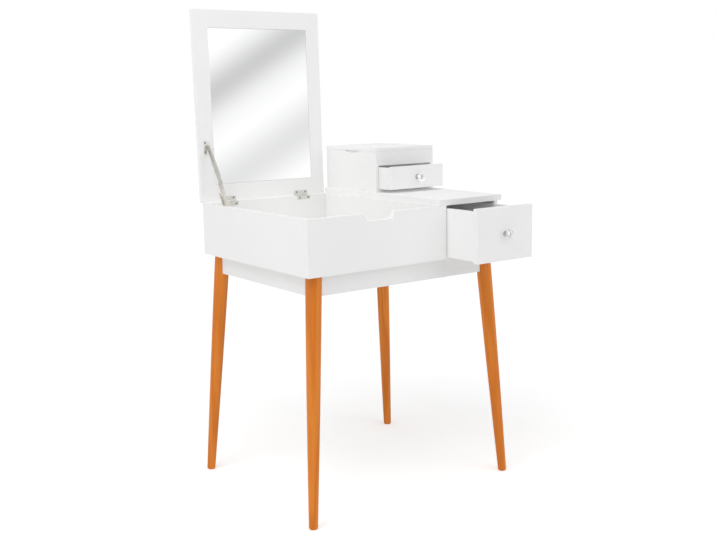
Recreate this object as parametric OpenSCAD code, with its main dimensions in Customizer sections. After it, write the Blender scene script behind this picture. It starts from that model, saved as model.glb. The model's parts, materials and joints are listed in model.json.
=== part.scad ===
// Flip top vanity table, drawn with the mirror lid open and both drawers pulled part way out.
// Millimetres. +X is the sitter's right, +Y points to the back, +Z is up.
// The origin is on the floor, under the middle of the case.

/* [Case] */
// Width of the case, left to right
case_w = 600; // [540:10:760]
// Depth of the case, front to back
case_d = 500; // [440:10:620]
// Height of the case walls
case_h = 135; // [115:5:180]
// Thickness of the left and right walls
side_t = 12; // [9:1:18]
// Thickness of the fixed front panel
front_t = 15; // [12:1:20]
// Thickness of the back panel
back_t = 15; // [12:1:20]
// Thickness of the partition between the compartment and the drawer bay
partition_t = 15; // [12:1:20]
// Thickness of the compartment's floor
compartment_floor_t = 12; // [6:1:18]
// Thickness of the drawer bay's floor
bay_floor_t = 5; // [3:1:9]
// Thickness of the fixed top board
top_t = 15; // [12:1:22]
// Width of the fixed front panel
front_panel_w = 413; // [390:1:440]

/* [Finger notch] */
// Width of the notch at the panel's top edge
notch_top_w = 94; // [60:1:130]
// Width of the notch at its bottom
notch_bottom_w = 76; // [50:1:110]
// Depth of the notch
notch_depth = 18; // [10:1:30]
// Distance from the case's left end to the notch's middle
notch_from_left = 204; // [120:1:280]
// Radius of the notch's bottom corners
notch_round = 6; // [2:1:8]

/* [Mirror lid] */
// Width of the lid
lid_w = 387; // [360:1:400]
// Thickness of the lid board
lid_t = 15; // [12:1:22]
// Angle between the shut lid and the open lid, where the stay is straight
lid_angle = 91.5; // [90:0.5:96]
// Running gap between the closed lid and the walls under it
lid_gap = 0.4; // [0.3:0.1:1]
// Joint between the lid and the fixed top board
lid_joint = 3; // [1:0.5:5]
// How far the closed lid's front edge stays behind the front panel's face
lid_setback = 2; // [0:0.5:5]
// How far the partition reaches under the lid
lid_bearing = 5.5; // [3:0.5:8]
// Width of the mirror glass
mirror_w = 303; // [240:1:310]
// Height of the mirror glass
mirror_h = 405; // [320:1:420]
// Thickness of the mirror glass
mirror_t = 3; // [2:0.5:5]
// How far the glass lies below the lid's face
mirror_sink = 0.4; // [0:0.1:1.5]
// Gap round the glass in its recess
mirror_fit = 0.5; // [0.2:0.1:1]

/* [Lid hinges] */
// Width of a lid hinge
hinge_w = 42; // [30:1:60]
// Distance from the lid's end to the hinge's middle
hinge_inset = 79; // [50:1:120]
// Radius of the hinge knuckle
hinge_barrel_r = 2.7; // [2.5:0.1:3.5]
// Radius of the hinge pin
hinge_pin_r = 1.4; // [1:0.1:1.6]
// Thickness of a hinge leaf
hinge_leaf_t = 1.2; // [0.8:0.1:1.2]
// Length of the leaf on the lid
hinge_lid_leaf = 13; // [11:0.5:20]
// Length of the leaf's flange on the back panel's inner face
hinge_flange = 10; // [8:0.5:16]

/* [Lid stay] */
// Distance from the hinge axis to the stay's pivot on the lid
stay_lid_reach = 144; // [130:1:155]
// Height of that pivot over the lid's face
stay_lid_offset = 8; // [7.6:0.1:10]
// Distance from the case's back to the stay's pivot on the wall
stay_case_back = 126; // [115:1:140]
// Distance from the wall's top edge down to that pivot
stay_case_drop = 42; // [34:1:50]
// Length of the upper link between its pivots
stay_upper_l = 110; // [102:1:120]
// Width of the upper link at the lid
stay_upper_w = 13; // [10:0.5:13]
// Width of the lower link, and of the upper link at the elbow
stay_lower_w = 19; // [14:0.5:19]
// Depth of the upper link's flanges
stay_upper_flange = 3.5; // [2.5:0.5:6]
// Depth of the lower link's flanges
stay_lower_flange = 8; // [3:0.5:8]
// Thickness of the stay's sheet metal
stay_t = 1.5; // [1:0.1:1.6]
// Radius of the stay's rivets
rivet_r = 2; // [1.5:0.1:2.5]

/* [Screws] */
// Radius of the hardware screws
screw_r = 1.5; // [1:0.1:1.7]
// Length of the hardware screws
screw_l = 10; // [8:0.5:11]
// Radius of the screw heads
screw_head_r = 2.7; // [2.2:0.1:3]
// Radius of the small hinges' screws
small_screw_r = 0.9; // [0.7:0.1:1]
// Length of the small hinges' screws
small_screw_l = 6; // [4:0.5:7]
// Radius of the small screws' heads
small_screw_head_r = 1.6; // [1.3:0.1:1.8]

/* [Legs] */
// Height of the case's underside over the floor
leg_h = 597; // [420:1:680]
// Diameter of a leg at its top
leg_top_d = 39; // [34:1:44]
// Diameter of a leg at its foot
leg_foot_d = 22; // [18:1:30]
// Fullness of the leg's taper, 1 is straight
leg_fullness = 1.4; // [1:0.1:2.2]
// Distance from the case's end to a leg's middle, at the top
leg_inset_x = 35.4; // [30:0.1:45]
// Distance from the case's front or back to a leg's middle, at the top
leg_inset_y = 32.9; // [30:0.1:42]
// How far a foot stands out sideways from the leg's top
leg_splay_x = 42; // [10:1:70]
// How far a foot stands out to the front or back from the leg's top
leg_splay_y = 36; // [10:1:60]
// Rounding of the foot's edge
foot_round = 6; // [2:0.5:8]

/* [Apron] */
// Height of the apron rails
apron_h = 50; // [44:1:80]
// Thickness of the apron rails
apron_t = 18; // [12:1:22]
// Distance from the case's faces to the rails' outer faces
apron_inset = 25; // [20:1:28]
// Thickness of a corner block
block_t = 20; // [14:1:28]
// Height of a corner block
block_h = 44; // [30:1:44]
// Radius of the leg bolts
bolt_r = 4; // [3:0.5:5]
// How far a leg bolt's axis lies below the case
bolt_drop = 24; // [18:1:26]

/* [Main drawer] */
// How far the drawer is pulled out as drawn
drawer_open = 110; // [5:1:200]
// Thickness of the drawer's front
drawer_front_t = 15; // [12:1:20]
// Thickness of the drawer's sides and back
drawer_side_t = 12; // [9:1:15]
// Length of the drawer's sides
drawer_side_l = 455; // [300:5:465]
// How far the sides' top edges lie below the walls' top edge
drawer_side_drop = 8; // [4:1:40]
// Thickness of the drawer's bottom
drawer_bottom_t = 4; // [3:0.5:6]
// Height of the drawer's bottom over the sides' lower edge
drawer_bottom_up = 5; // [3:0.5:10]
// Depth of the groove that holds the drawer's bottom
drawer_groove = 5; // [3:0.5:6]
// Gap round the drawer's front
drawer_front_gap = 1; // [0.5:0.5:3]
// Gap on each side of the drawer's box
drawer_side_gap = 1.5; // [1:0.5:3]
// Running gap under the drawer's sides
drawer_lift = 0.3; // [0.3:0.1:1]
// Gap left behind the front when the drawer is shut
drawer_seat = 0.5; // [0.3:0.1:2]
// Height of the guide strip beside the drawer
guide_h = 38; // [20:1:60]
// How far the guide strip stays behind the front
guide_setback = 10; // [5:1:40]

/* [Top box] */
// Distance from the fixed top's left end to the box
box_left_margin = 9; // [0:1:30]
// Depth of the box
box_d = 231; // [180:1:260]
// Height of the box, lid included
box_h = 118; // [95:1:160]
// Distance from the case's right end to the box
box_inset = 3; // [3:1:8]
// Thickness of the box's walls and floor
box_wall_t = 9; // [8:0.5:12]
// Thickness of the box's lid
box_lid_t = 9; // [6:0.5:14]
// Running gap under the closed box lid
box_lid_gap = 0.3; // [0.3:0.1:1]
// Height of the fixed upper front
box_upper_h = 37.7; // [20:0.1:50]
// Thickness of the shelf between the drawer and the top compartment
box_shelf_t = 5; // [3:0.5:8]
// Width of the finger notch under the box's lid
box_notch_w = 70; // [45:1:90]
// Depth of the finger notch under the box's lid
box_notch_depth = 6; // [5:0.5:10]
// How far the finger notch reaches into the wall
box_notch_in = 5.5; // [3:0.5:7]
// Distance from the box's back to the notch's middle
box_notch_back = 122; // [60:1:150]
// Width of a box hinge
box_hinge_w = 30; // [20:1:40]
// Distance from the box's front or back to a hinge's middle
box_hinge_inset = 45; // [35:1:60]
// Radius of the box hinges' knuckle
box_barrel_r = 1.8; // [1.7:0.1:2.2]
// Radius of the box hinges' pin
box_pin_r = 0.9; // [0.6:0.1:1]
// Thickness of the box hinges' leaves
box_leaf_t = 0.8; // [0.5:0.1:0.8]
// Length of the leaf on the box's lid
box_lid_leaf = 9; // [8:0.5:14]
// Length of the flange on the box wall's inner face
box_flange = 7; // [5:0.5:10]

/* [Small drawer] */
// How far the small drawer is pulled out as drawn
small_open = 54; // [3:1:120]
// Thickness of the small drawer's front
small_front_t = 9; // [7:0.5:12]
// Thickness of the small drawer's sides and back
small_side_t = 6; // [4:0.5:9]
// Length of the small drawer's sides
small_side_l = 211; // [120:1:212]
// Gap round the small drawer's front and box
small_gap = 1; // [0.5:0.5:3]
// How far the small drawer's sides end below the shelf
small_side_drop = 4; // [2:0.5:20]
// Thickness of the small drawer's bottom
small_bottom_t = 3; // [2:0.5:4]
// Height of the small drawer's bottom over its sides' lower edge
small_bottom_up = 4; // [2:0.5:8]
// Depth of the groove that holds the small drawer's bottom
small_groove = 3; // [2:0.5:3.5]

/* [Knobs] */
// Diameter of a crystal knob
knob_d = 23; // [16:0.5:32]
// Length of a crystal
knob_l = 16; // [12:0.5:22]
// Diameter of a knob's metal base
knob_base_d = 15; // [12:0.5:20]
// Length of a knob's metal base
knob_base_l = 6; // [4:0.5:10]
// Radius of a knob's screw
knob_screw_r = 2; // [1.5:0.1:2.5]

/* [Hidden] */
$fn = 48;
white = "#f3f2ef";
pine = "#cf7330";
nickel = "#b5b1aa";
silver = "#dfe5e8";
clear = "#e6edf2";
part_fit = 0.05;
wood_fit = 0.3;
rivet_fit = 0.08;
over = 1;

// planes of the case
x_left = -case_w / 2;
x_right = case_w / 2;
y_front = -case_d / 2;
y_back = case_d / 2;
z_case = leg_h;
z_wall = leg_h + case_h;
z_top = z_wall + top_t;
wall_x = x_left + side_t;
inner_right = x_right - side_t;
inner_front = y_front + front_t;
inner_back = y_back - back_t;
lid_right = x_left + lid_w;
top_left = lid_right + lid_joint;
partition_x = lid_right - lid_bearing;
bay_x = partition_x + partition_t;
panel_end = x_left + front_panel_w;
compartment_z = z_case + compartment_floor_t;
bay_z = z_case + bay_floor_t;

// mirror lid
pivot_z = z_wall + lid_gap;
lid_l = case_d - lid_setback;
lid_mid = x_left + lid_w / 2;
hinge_xs = [x_left + hinge_inset, lid_right - hinge_inset];
hinge_strip = back_t;
hinge_clear = 0.6;
hinge_knuckles = 5;
knuckle_gap = 0.3;
hinge_screw_x = hinge_w * 0.33;
hinge_screw_y = 8;
flange_screw_z = 5;

// stay: the lid pivot turns with the lid, the wall pivot stays, and the open stay is straight
function turned(p, a) = [
    p[0] * cos(a) - p[1] * sin(a),
    p[0] * sin(a) + p[1] * cos(a)
];
pivot = [y_back, pivot_z];
stay_on_lid = [-stay_lid_reach, -stay_lid_offset];
stay_a = pivot + turned(stay_on_lid, -lid_angle);
stay_a_shut = pivot + stay_on_lid;
stay_b = [y_back - stay_case_back, z_wall - stay_case_drop];
stay_l = norm(stay_a - stay_b);
stay_lower_l = stay_l - stay_upper_l;
stay_dir = atan2(stay_a[1] - stay_b[1], stay_a[0] - stay_b[0]);
stay_e = stay_b + turned([stay_lower_l, 0], stay_dir);
bracket_x = wall_x + 0.5;
lower_x = wall_x + 1 + stay_lower_flange - stay_t;
upper_x = lower_x + stay_t + 0.5;
ear_x = upper_x + stay_t + 0.4;
ear_r = 6;
flange_stop = 21;
link_inset = 0.05;
bracket_half = 18;
bracket_screw_x = wall_x + 4.2;
bracket_screw_step = 12;
plate_w = 15;
plate_l = 34;
plate_turn = -60;
plate_screws = [13, 26];
rivet_head_r = 3.6;
rivet_head_t = 1;

// folded stay, worked out for the shut lid
shut_span = norm(stay_a_shut - stay_b);
shut_dir = atan2(stay_a_shut[1] - stay_b[1], stay_a_shut[0] - stay_b[0]);
shut_at_b = acos(
    (pow(stay_lower_l, 2) + pow(shut_span, 2) - pow(stay_upper_l, 2))
    / (2 * stay_lower_l * shut_span)
);
shut_lower_dir = shut_dir + shut_at_b;
shut_e = stay_b + turned([stay_lower_l, 0], shut_lower_dir);
shut_upper_dir = atan2(shut_e[1] - stay_a_shut[1], shut_e[0] - stay_a_shut[0]) + 360;
lower_turn = shut_lower_dir - stay_dir;
upper_turn = shut_upper_dir - (stay_dir + 180) - lid_angle;
echo(stay_a = stay_a, stay_b = stay_b, stay_e = stay_e, shut_e = shut_e);
echo(lower_ratio = lower_turn / lid_angle, upper_ratio = upper_turn / lid_angle);

// legs and apron
leg_x = case_w / 2 - leg_inset_x;
leg_y = case_d / 2 - leg_inset_y;
leg_len = norm([leg_splay_x, leg_splay_y, leg_h]);
leg_tilt = acos(leg_h / leg_len);
leg_top_r = leg_top_d / 2;
leg_foot_r = leg_foot_d / 2;
leg_trim = leg_foot_r * tan(leg_tilt) + 0.3;
leg_steps = 10;
// the round profile starts on the outer side, clear of the rails
leg_seam = 140;
apron_x = case_w / 2 - apron_inset;
apron_y = case_d / 2 - apron_inset;
apron_z = z_case - apron_h;
block_x = apron_x - apron_t;
block_y = apron_y - apron_t;
block_cut = max(2, sqrt(2) * (leg_top_r + wood_fit) - (leg_x - block_x) - (leg_y - block_y));
block_out = block_cut + block_t * sqrt(2);
bolt_z = z_case - bolt_drop;
bolt_in = 12;
bolt_x = leg_x + leg_splay_x * bolt_drop / leg_h;
bolt_y = leg_y + leg_splay_y * bolt_drop / leg_h;
// from the leg's axis at the bolt to the block's two faces, along the bolt
block_face = (bolt_x - block_x + bolt_y - block_y + block_cut) / sqrt(2);
block_back = block_face + block_t;
nut_af = 13;
nut_h = 6.5;
nut_flange_r = 9;
nut_flange_t = 1.5;
bolt_out = block_back + nut_flange_t + nut_h + 4;
corners = [[-1, -1], [1, -1], [-1, 1], [1, 1]];

// main drawer, drawn pulled out
drawer_x0 = panel_end + drawer_side_gap;
drawer_x1 = x_right;
drawer_box_x1 = inner_right - drawer_side_gap;
drawer_y = y_front - drawer_seat - drawer_open;
drawer_box_y = drawer_y + drawer_front_t;
drawer_z = z_case;
drawer_top = z_wall - drawer_front_gap;
drawer_side_z = bay_z + drawer_lift;
drawer_side_top = z_wall - drawer_side_drop;
drawer_bottom_z = drawer_side_z + drawer_bottom_up;
drawer_floor = drawer_bottom_z + drawer_bottom_t;
drawer_knob_at = [(drawer_x0 + drawer_x1) / 2, drawer_y, (drawer_z + drawer_top) / 2];

// top box and its drawer
box_x1 = x_right - box_inset;
box_x0 = top_left + box_left_margin;
box_y0 = y_back - box_d;
box_in_x0 = box_x0 + box_wall_t;
box_in_x1 = box_x1 - box_wall_t;
box_in_y1 = y_back - box_wall_t;
box_top = z_top + box_h;
box_lid_z = box_top - box_lid_t;
box_wall_z = box_lid_z - box_lid_gap;
box_floor_z = z_top + box_wall_t;
box_shelf_z = box_wall_z - box_upper_h;
box_notch_r = (pow(box_notch_w / 2, 2) + pow(box_notch_depth, 2)) / (2 * box_notch_depth);
box_hinge_ys = [box_y0 + box_hinge_inset, y_back - box_hinge_inset];
box_screw_x = box_hinge_w * 0.33;
box_screw_y = 5.5;
box_flange_screw_z = 3.6;
small_x0 = box_in_x0 + small_gap;
small_x1 = box_in_x1 - small_gap;
small_y = box_y0 - small_open;
small_box_y = small_y + small_front_t;
small_z = box_floor_z + small_gap;
small_top = box_shelf_z - small_gap;
small_side_z = box_floor_z + drawer_lift;
small_side_top = box_shelf_z - small_side_drop;
small_bottom_z = small_side_z + small_bottom_up;
small_floor = small_bottom_z + small_bottom_t;
small_knob_at = [(small_x0 + small_x1) / 2, small_y, (small_z + small_top) / 2];

// knobs, drawn from the drawer's face outwards
knob_sides = 12;
knob_girdle = 3;
knob_neck_r = 4.2;
knob_stud_l = 6;
knob_head_r = 4;
knob_head_t = 2.6;
knob_grip = 4;

// ---- shared shapes ----

// A board between two corners
module board(low, high) {
    translate(low) cube(high - low);
}

// A cylinder along +X from x = 0
module rod_x(r, l) {
    rotate([0, 90, 0]) cylinder(r = r, h = l);
}

// Children drawn for the shut lid, turned to the open lid
module on_open_lid() {
    translate([0, y_back, pivot_z])
        rotate([-lid_angle, 0, 0])
            translate([0, -y_back, -pivot_z])
                children();
}

// A countersunk screw, head face at z = 0, pointing to +Z
module screw(r, l, head_r, fit = 0) {
    rotate_extrude() polygon([
        [0, -fit],
        [head_r + fit, -fit],
        [head_r + fit, 0],
        [r + fit, head_r - r],
        [r + fit, l - r + fit],
        [0.3, l + fit],
        [0, l + fit]
    ]);
}

// ---- hinges: axis along X at the origin, lid side above, leaves towards -Y ----

function knuckle_x(w, i) = -w / 2 + i * w / hinge_knuckles + knuckle_gap / 2;
function knuckle_l(w) = w / hinge_knuckles - knuckle_gap;

module knuckles(w, first, barrel_r, leaf_t, leaf_z) {
    for (i = [first:2:hinge_knuckles - 1]) {
        translate([knuckle_x(w, i), 0, 0]) {
            rod_x(barrel_r, knuckle_l(w));
            translate([0, -barrel_r - hinge_clear - over, leaf_z])
                cube([knuckle_l(w), barrel_r + hinge_clear + over, leaf_t]);
        }
    }
}

module leaf_screw_spots(w, x_off) {
    for (x = [-x_off, x_off]) translate([x, 0, 0]) children();
}

// Leaf of the fixed side: a strip over the wall's edge and a flange down its inner face
module case_leaf(w, barrel_r, pin_r, leaf_t, strip, flange, screw_x, screw_z, sr, sl, shr) {
    difference() {
        union() {
            knuckles(w, 0, barrel_r, leaf_t, -barrel_r);
            translate([-w / 2, -strip - leaf_t, -barrel_r])
                cube([w, strip + leaf_t - barrel_r - hinge_clear, leaf_t]);
            translate([-w / 2, -strip - leaf_t, -barrel_r + leaf_t - flange])
                cube([w, leaf_t, flange]);
        }
        translate([-w, 0, 0]) rod_x(pin_r + part_fit, 2 * w);
        leaf_screw_spots(w, screw_x)
            translate([0, -strip - leaf_t, -barrel_r + leaf_t - screw_z])
                rotate([-90, 0, 0]) screw(sr, sl, shr, part_fit);
    }
}

// Leaf of the lid, under the lid's face
module lid_leaf(w, barrel_r, pin_r, leaf_t, leaf_l, screw_x, screw_y, sr, sl, shr) {
    difference() {
        union() {
            knuckles(w, 1, barrel_r, leaf_t, -leaf_t);
            translate([-w / 2, -leaf_l, -leaf_t])
                cube([w, leaf_l - barrel_r - hinge_clear, leaf_t]);
        }
        translate([-w, 0, 0]) rod_x(pin_r + part_fit, 2 * w);
        leaf_screw_spots(w, screw_x)
            translate([0, -screw_y, -leaf_t]) screw(sr, sl, shr, part_fit);
    }
}

// Room for the knuckles in both boards, and for the strip in the wall's edge
module hinge_pocket(w, barrel_r) {
    translate([-w / 2 - 0.5, 0, 0]) rod_x(barrel_r + hinge_clear, w + 1);
}

module strip_pocket(w, barrel_r, strip) {
    translate([-w / 2 - 0.5, -strip - over, -barrel_r])
        cube([w + 1, strip + 2 * over, barrel_r + over]);
}

// Places on the main hinge axis and on the box lid's hinge axis
module at_lid_hinges() {
    for (x = hinge_xs) translate([x, y_back, pivot_z]) children();
}

module at_box_hinges() {
    for (y = box_hinge_ys) translate([box_x1, y, box_lid_z]) rotate([0, 0, -90]) children();
}

module case_hinge_screws(fit = 0) {
    at_lid_hinges() leaf_screw_spots(hinge_w, hinge_screw_x)
        translate([
            0,
            -hinge_strip - hinge_leaf_t,
            -hinge_barrel_r + hinge_leaf_t - flange_screw_z
        ])
            rotate([-90, 0, 0]) screw(screw_r, screw_l, screw_head_r, fit);
}

module lid_hinge_screws(fit = 0) {
    at_lid_hinges() leaf_screw_spots(hinge_w, hinge_screw_x)
        translate([0, -hinge_screw_y, -hinge_leaf_t])
            screw(screw_r, screw_l, screw_head_r, fit);
}

module box_wall_screws(fit = 0) {
    at_box_hinges() leaf_screw_spots(box_hinge_w, box_screw_x)
        translate([
            0,
            -box_wall_t - box_leaf_t,
            -box_barrel_r + box_leaf_t - box_flange_screw_z
        ])
            rotate([-90, 0, 0])
                screw(small_screw_r, small_screw_l, small_screw_head_r, fit);
}

module box_cover_screws(fit = 0) {
    at_box_hinges() leaf_screw_spots(box_hinge_w, box_screw_x)
        translate([0, -box_screw_y, -box_leaf_t])
            screw(small_screw_r, small_screw_l, small_screw_head_r, fit);
}

// ---- stay ----

// Children drawn in a plane with the local X along angle a, laid against x = x0 at point p
module in_stay_plane(x0, p, a) {
    translate([x0, p[0], p[1]])
        rotate([a, 0, 0])
            rotate([90, 0, 90])
                children();
}

// A link that widens from w0 to w1, with round ends, a hole at each end and flanges from
// z = low to z = high, which stop before both holes. It runs from the origin along +X.
module link(l, w0, w1, low, high) {
    function half(x) = (w0 + (w1 - w0) * x / l) / 2 - link_inset;
    function flange(x, side, t) = [x, side * (half(x) - link_inset - t)];
    x0 = flange_stop;
    x1 = l - flange_stop;
    difference() {
        union() {
            linear_extrude(height = stay_t)
                polygon([[0, -half(0)], [l, -half(l)], [l, half(l)], [0, half(0)]]);
            cylinder(r = w0 / 2, h = stay_t);
            translate([l, 0, 0]) cylinder(r = w1 / 2, h = stay_t);
        }
        for (x = [0, l]) translate([x, 0, -over])
            cylinder(r = rivet_r + rivet_fit, h = stay_t + 2 * over);
    }
    for (side = [-1, 1]) translate([0, 0, low]) linear_extrude(height = high - low)
        polygon([
            flange(x0, side, 0),
            flange(x1, side, 0),
            flange(x1, side, stay_t),
            flange(x0, side, stay_t)
        ]);
}

module plate_screw_spots() {
    for (d = plate_screws) in_stay_plane(wall_x + stay_t, stay_b, plate_turn)
        translate([d, 0, 0]) rotate([180, 0, 0]) children();
}

module bracket_screw_spots() {
    for (d = [-bracket_screw_step, bracket_screw_step])
        translate([bracket_screw_x, y_back - stay_lid_reach + d, pivot_z - stay_t]) children();
}

// ---- legs ----

function leg_r(s) =
    leg_top_r - (leg_top_r - leg_foot_r) * pow(max(0, 1 - s / leg_len), leg_fullness);

// A leg in the corner [sx, sy], made bigger all round by grow
module leg_solid(c, grow = 0) {
    round_r = min(foot_round, leg_foot_r - 2);
    translate([c[0] * (leg_x + leg_splay_x), c[1] * (leg_y + leg_splay_y), 0])
        rotate([0, leg_tilt, atan2(-c[1] * leg_splay_y, -c[0] * leg_splay_x)])
            rotate([0, 0, leg_seam]) rotate_extrude() polygon(concat(
                [[0, -leg_trim]],
                [for (a = [-90:15:0]) [
                    leg_foot_r - round_r + round_r * cos(a) + grow,
                    -leg_trim + round_r + round_r * sin(a)
                ]],
                [for (i = [1:leg_steps - 1]) let (s = leg_len * i / leg_steps) [leg_r(s) + grow, s]],
                [[leg_top_r + grow, leg_len + 5], [0, leg_len + 5]]
            ));
}

module bolt_line(c, from) {
    translate([c[0] * bolt_x, c[1] * bolt_y, bolt_z])
        rotate([0, 90, atan2(-c[1], -c[0])])
            translate([0, 0, from])
                children();
}

module leg(c) {
    color(pine) difference() {
        intersection() {
            leg_solid(c);
            translate([-case_w, -case_d, 0]) cube([2 * case_w, 2 * case_d, leg_h]);
        }
        bolt_line(c, -bolt_in) cylinder(r = bolt_r + part_fit, h = leg_top_d);
    }
}

module leg_front_left() { leg(corners[0]); }
module leg_front_right() { leg(corners[1]); }
module leg_back_left() { leg(corners[2]); }
module leg_back_right() { leg(corners[3]); }

module leg_bolts() {
    color(nickel) for (c = corners) bolt_line(c, -bolt_in)
        cylinder(r = bolt_r, h = bolt_out + bolt_in);
}

module leg_nuts() {
    color(nickel) for (c = corners) bolt_line(c, block_back) difference() {
        union() {
            cylinder(r = nut_flange_r, h = nut_flange_t);
            cylinder(r = nut_af / sqrt(3), h = nut_flange_t + nut_h, $fn = 6);
        }
        translate([0, 0, -over]) cylinder(r = bolt_r + part_fit, h = nut_h + 4 * over);
    }
}

module corner_blocks() {
    color(pine) for (c = corners) difference() {
        translate([c[0] * block_x, c[1] * block_y, z_case - block_h])
            linear_extrude(height = block_h) polygon([
                [0, -c[1] * block_cut],
                [0, -c[1] * block_out],
                [-c[0] * block_out, 0],
                [-c[0] * block_cut, 0]
            ]);
        bolt_line(c, 0) cylinder(r = bolt_r + 0.5, h = block_back + 2 * over);
    }
}

// ---- apron ----

// Rails run between the legs, and their ends are shaped to the round legs
module rail(low, high) {
    color(white) difference() {
        board(low, high);
        for (c = corners) leg_solid(c, wood_fit);
    }
}

module apron_front() {
    rail([-leg_x, -apron_y, apron_z], [leg_x, -apron_y + apron_t, z_case]);
}

module apron_back() {
    rail([-leg_x, apron_y - apron_t, apron_z], [leg_x, apron_y, z_case]);
}

module apron_left() {
    rail([-apron_x, -leg_y, apron_z], [-apron_x + apron_t, leg_y, z_case]);
}

module apron_right() {
    rail([apron_x - apron_t, -leg_y, apron_z], [apron_x, leg_y, z_case]);
}

// ---- case ----

module left_side() {
    color(white) difference() {
        board([x_left, inner_front, z_case], [wall_x, y_back, z_wall]);
        plate_screw_spots() screw(screw_r, screw_l, screw_head_r, part_fit);
    }
}

module right_side() {
    color(white) board([inner_right, inner_front, z_case], [x_right, y_back, z_wall]);
}

module back_panel() {
    color(white) difference() {
        board([wall_x, inner_back, z_case], [inner_right, y_back, z_wall]);
        at_lid_hinges() {
            hinge_pocket(hinge_w, hinge_barrel_r);
            strip_pocket(hinge_w, hinge_barrel_r, hinge_strip);
        }
        case_hinge_screws(part_fit);
    }
}

// Outline of the finger notch, from the top edge down, with round bottom corners
function notch_points() =
    let (
        half_top = notch_top_w / 2,
        half_low = notch_bottom_w / 2,
        slope = atan2(half_top - half_low, notch_depth),
        r = notch_round,
        corner_x = half_low - r * tan(45 - slope / 2)
    )
    concat(
        [[half_top, over], [half_top, 0]],
        [for (a = [-slope:-(90 - slope) / 4:-90])
            [corner_x + r * cos(a), -notch_depth + r + r * sin(a)]],
        [for (a = [-90:-(90 - slope) / 4:-180 + slope])
            [-corner_x + r * cos(a), -notch_depth + r + r * sin(a)]],
        [[-half_top, 0], [-half_top, over]]
    );

module front_panel() {
    color(white) difference() {
        board([x_left, y_front, z_case], [panel_end, inner_front, z_wall]);
        translate([x_left + notch_from_left, inner_front + over, z_wall])
            rotate([90, 0, 0])
                linear_extrude(height = front_t + 2 * over)
                    polygon(notch_points());
    }
}

module partition() {
    color(white)
        board([partition_x, inner_front, z_case], [bay_x, inner_back, z_wall]);
}

module compartment_floor() {
    color(white)
        board([wall_x, inner_front, z_case], [partition_x, inner_back, compartment_z]);
}

module bay_floor() {
    color(white) board([bay_x, inner_front, z_case], [inner_right, inner_back, bay_z]);
}

module top_board() {
    color(white) board([top_left, y_front, z_wall], [x_right, y_back, z_top]);
}

module drawer_guide() {
    color(pine) board(
        [bay_x, inner_front + guide_setback, bay_z],
        [panel_end, inner_back - guide_setback, bay_z + guide_h]
    );
}

module hinge_case_leaves() {
    color(nickel) at_lid_hinges() case_leaf(
        hinge_w, hinge_barrel_r, hinge_pin_r, hinge_leaf_t, hinge_strip, hinge_flange,
        hinge_screw_x, flange_screw_z, screw_r, screw_l, screw_head_r
    );
}

module hinge_pins() {
    color(nickel) {
        at_lid_hinges() translate([-hinge_w / 2 + knuckle_gap, 0, 0])
            rod_x(hinge_pin_r, hinge_w - 2 * knuckle_gap);
        at_box_hinges() translate([-box_hinge_w / 2 + knuckle_gap, 0, 0])
            rod_x(box_pin_r, box_hinge_w - 2 * knuckle_gap);
    }
}

module case_screws() {
    color(nickel) {
        case_hinge_screws();
        box_wall_screws();
        plate_screw_spots() screw(screw_r, screw_l, screw_head_r);
    }
}

module stay_case_bracket() {
    color(nickel) difference() {
        in_stay_plane(wall_x, stay_b, plate_turn) difference() {
            union() {
                cylinder(r = plate_w / 2, h = stay_t);
                translate([0, -plate_w / 2, 0]) cube([plate_l, plate_w, stay_t]);
            }
            translate([0, 0, -over]) cylinder(r = rivet_r + part_fit, h = stay_t + 2 * over);
        }
        plate_screw_spots() screw(screw_r, screw_l, screw_head_r, part_fit);
    }
}

// Rivet on the wall plate: shank, a shoulder behind the lower link and a head before it
module stay_case_rivet() {
    color(nickel) in_stay_plane(wall_x, stay_b, 0) {
        cylinder(r = rivet_r, h = lower_x + stay_t + 0.2 - wall_x);
        translate([0, 0, stay_t])
            cylinder(r = rivet_head_r, h = lower_x - wall_x - stay_t - 0.2);
        translate([0, 0, lower_x + stay_t + 0.2 - wall_x])
            cylinder(r = rivet_head_r, h = rivet_head_t);
    }
}

// ---- mirror lid ----

module mirror_box(grow, low_z, high_z) {
    mid_y = y_back - lid_l / 2;
    board(
        [lid_mid - mirror_w / 2 - grow, mid_y - mirror_h / 2 - grow, low_z],
        [lid_mid + mirror_w / 2 + grow, mid_y + mirror_h / 2 + grow, high_z]
    );
}

module lid_board() {
    color(white) on_open_lid() difference() {
        board([x_left, y_back - lid_l, pivot_z], [lid_right, y_back, pivot_z + lid_t]);
        mirror_box(mirror_fit, pivot_z - over, pivot_z + mirror_sink + mirror_t);
        at_lid_hinges() hinge_pocket(hinge_w, hinge_barrel_r);
        lid_hinge_screws(part_fit);
        bracket_screw_spots() screw(screw_r, screw_l, screw_head_r, part_fit);
    }
}

module mirror() {
    color(silver) on_open_lid()
        mirror_box(0, pivot_z + mirror_sink, pivot_z + mirror_sink + mirror_t);
}

module hinge_lid_leaves() {
    color(nickel) on_open_lid() at_lid_hinges() lid_leaf(
        hinge_w, hinge_barrel_r, hinge_pin_r, hinge_leaf_t, hinge_lid_leaf,
        hinge_screw_x, hinge_screw_y, screw_r, screw_l, screw_head_r
    );
}

module lid_screws() {
    color(nickel) on_open_lid() {
        lid_hinge_screws();
        bracket_screw_spots() screw(screw_r, screw_l, screw_head_r);
    }
}

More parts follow.
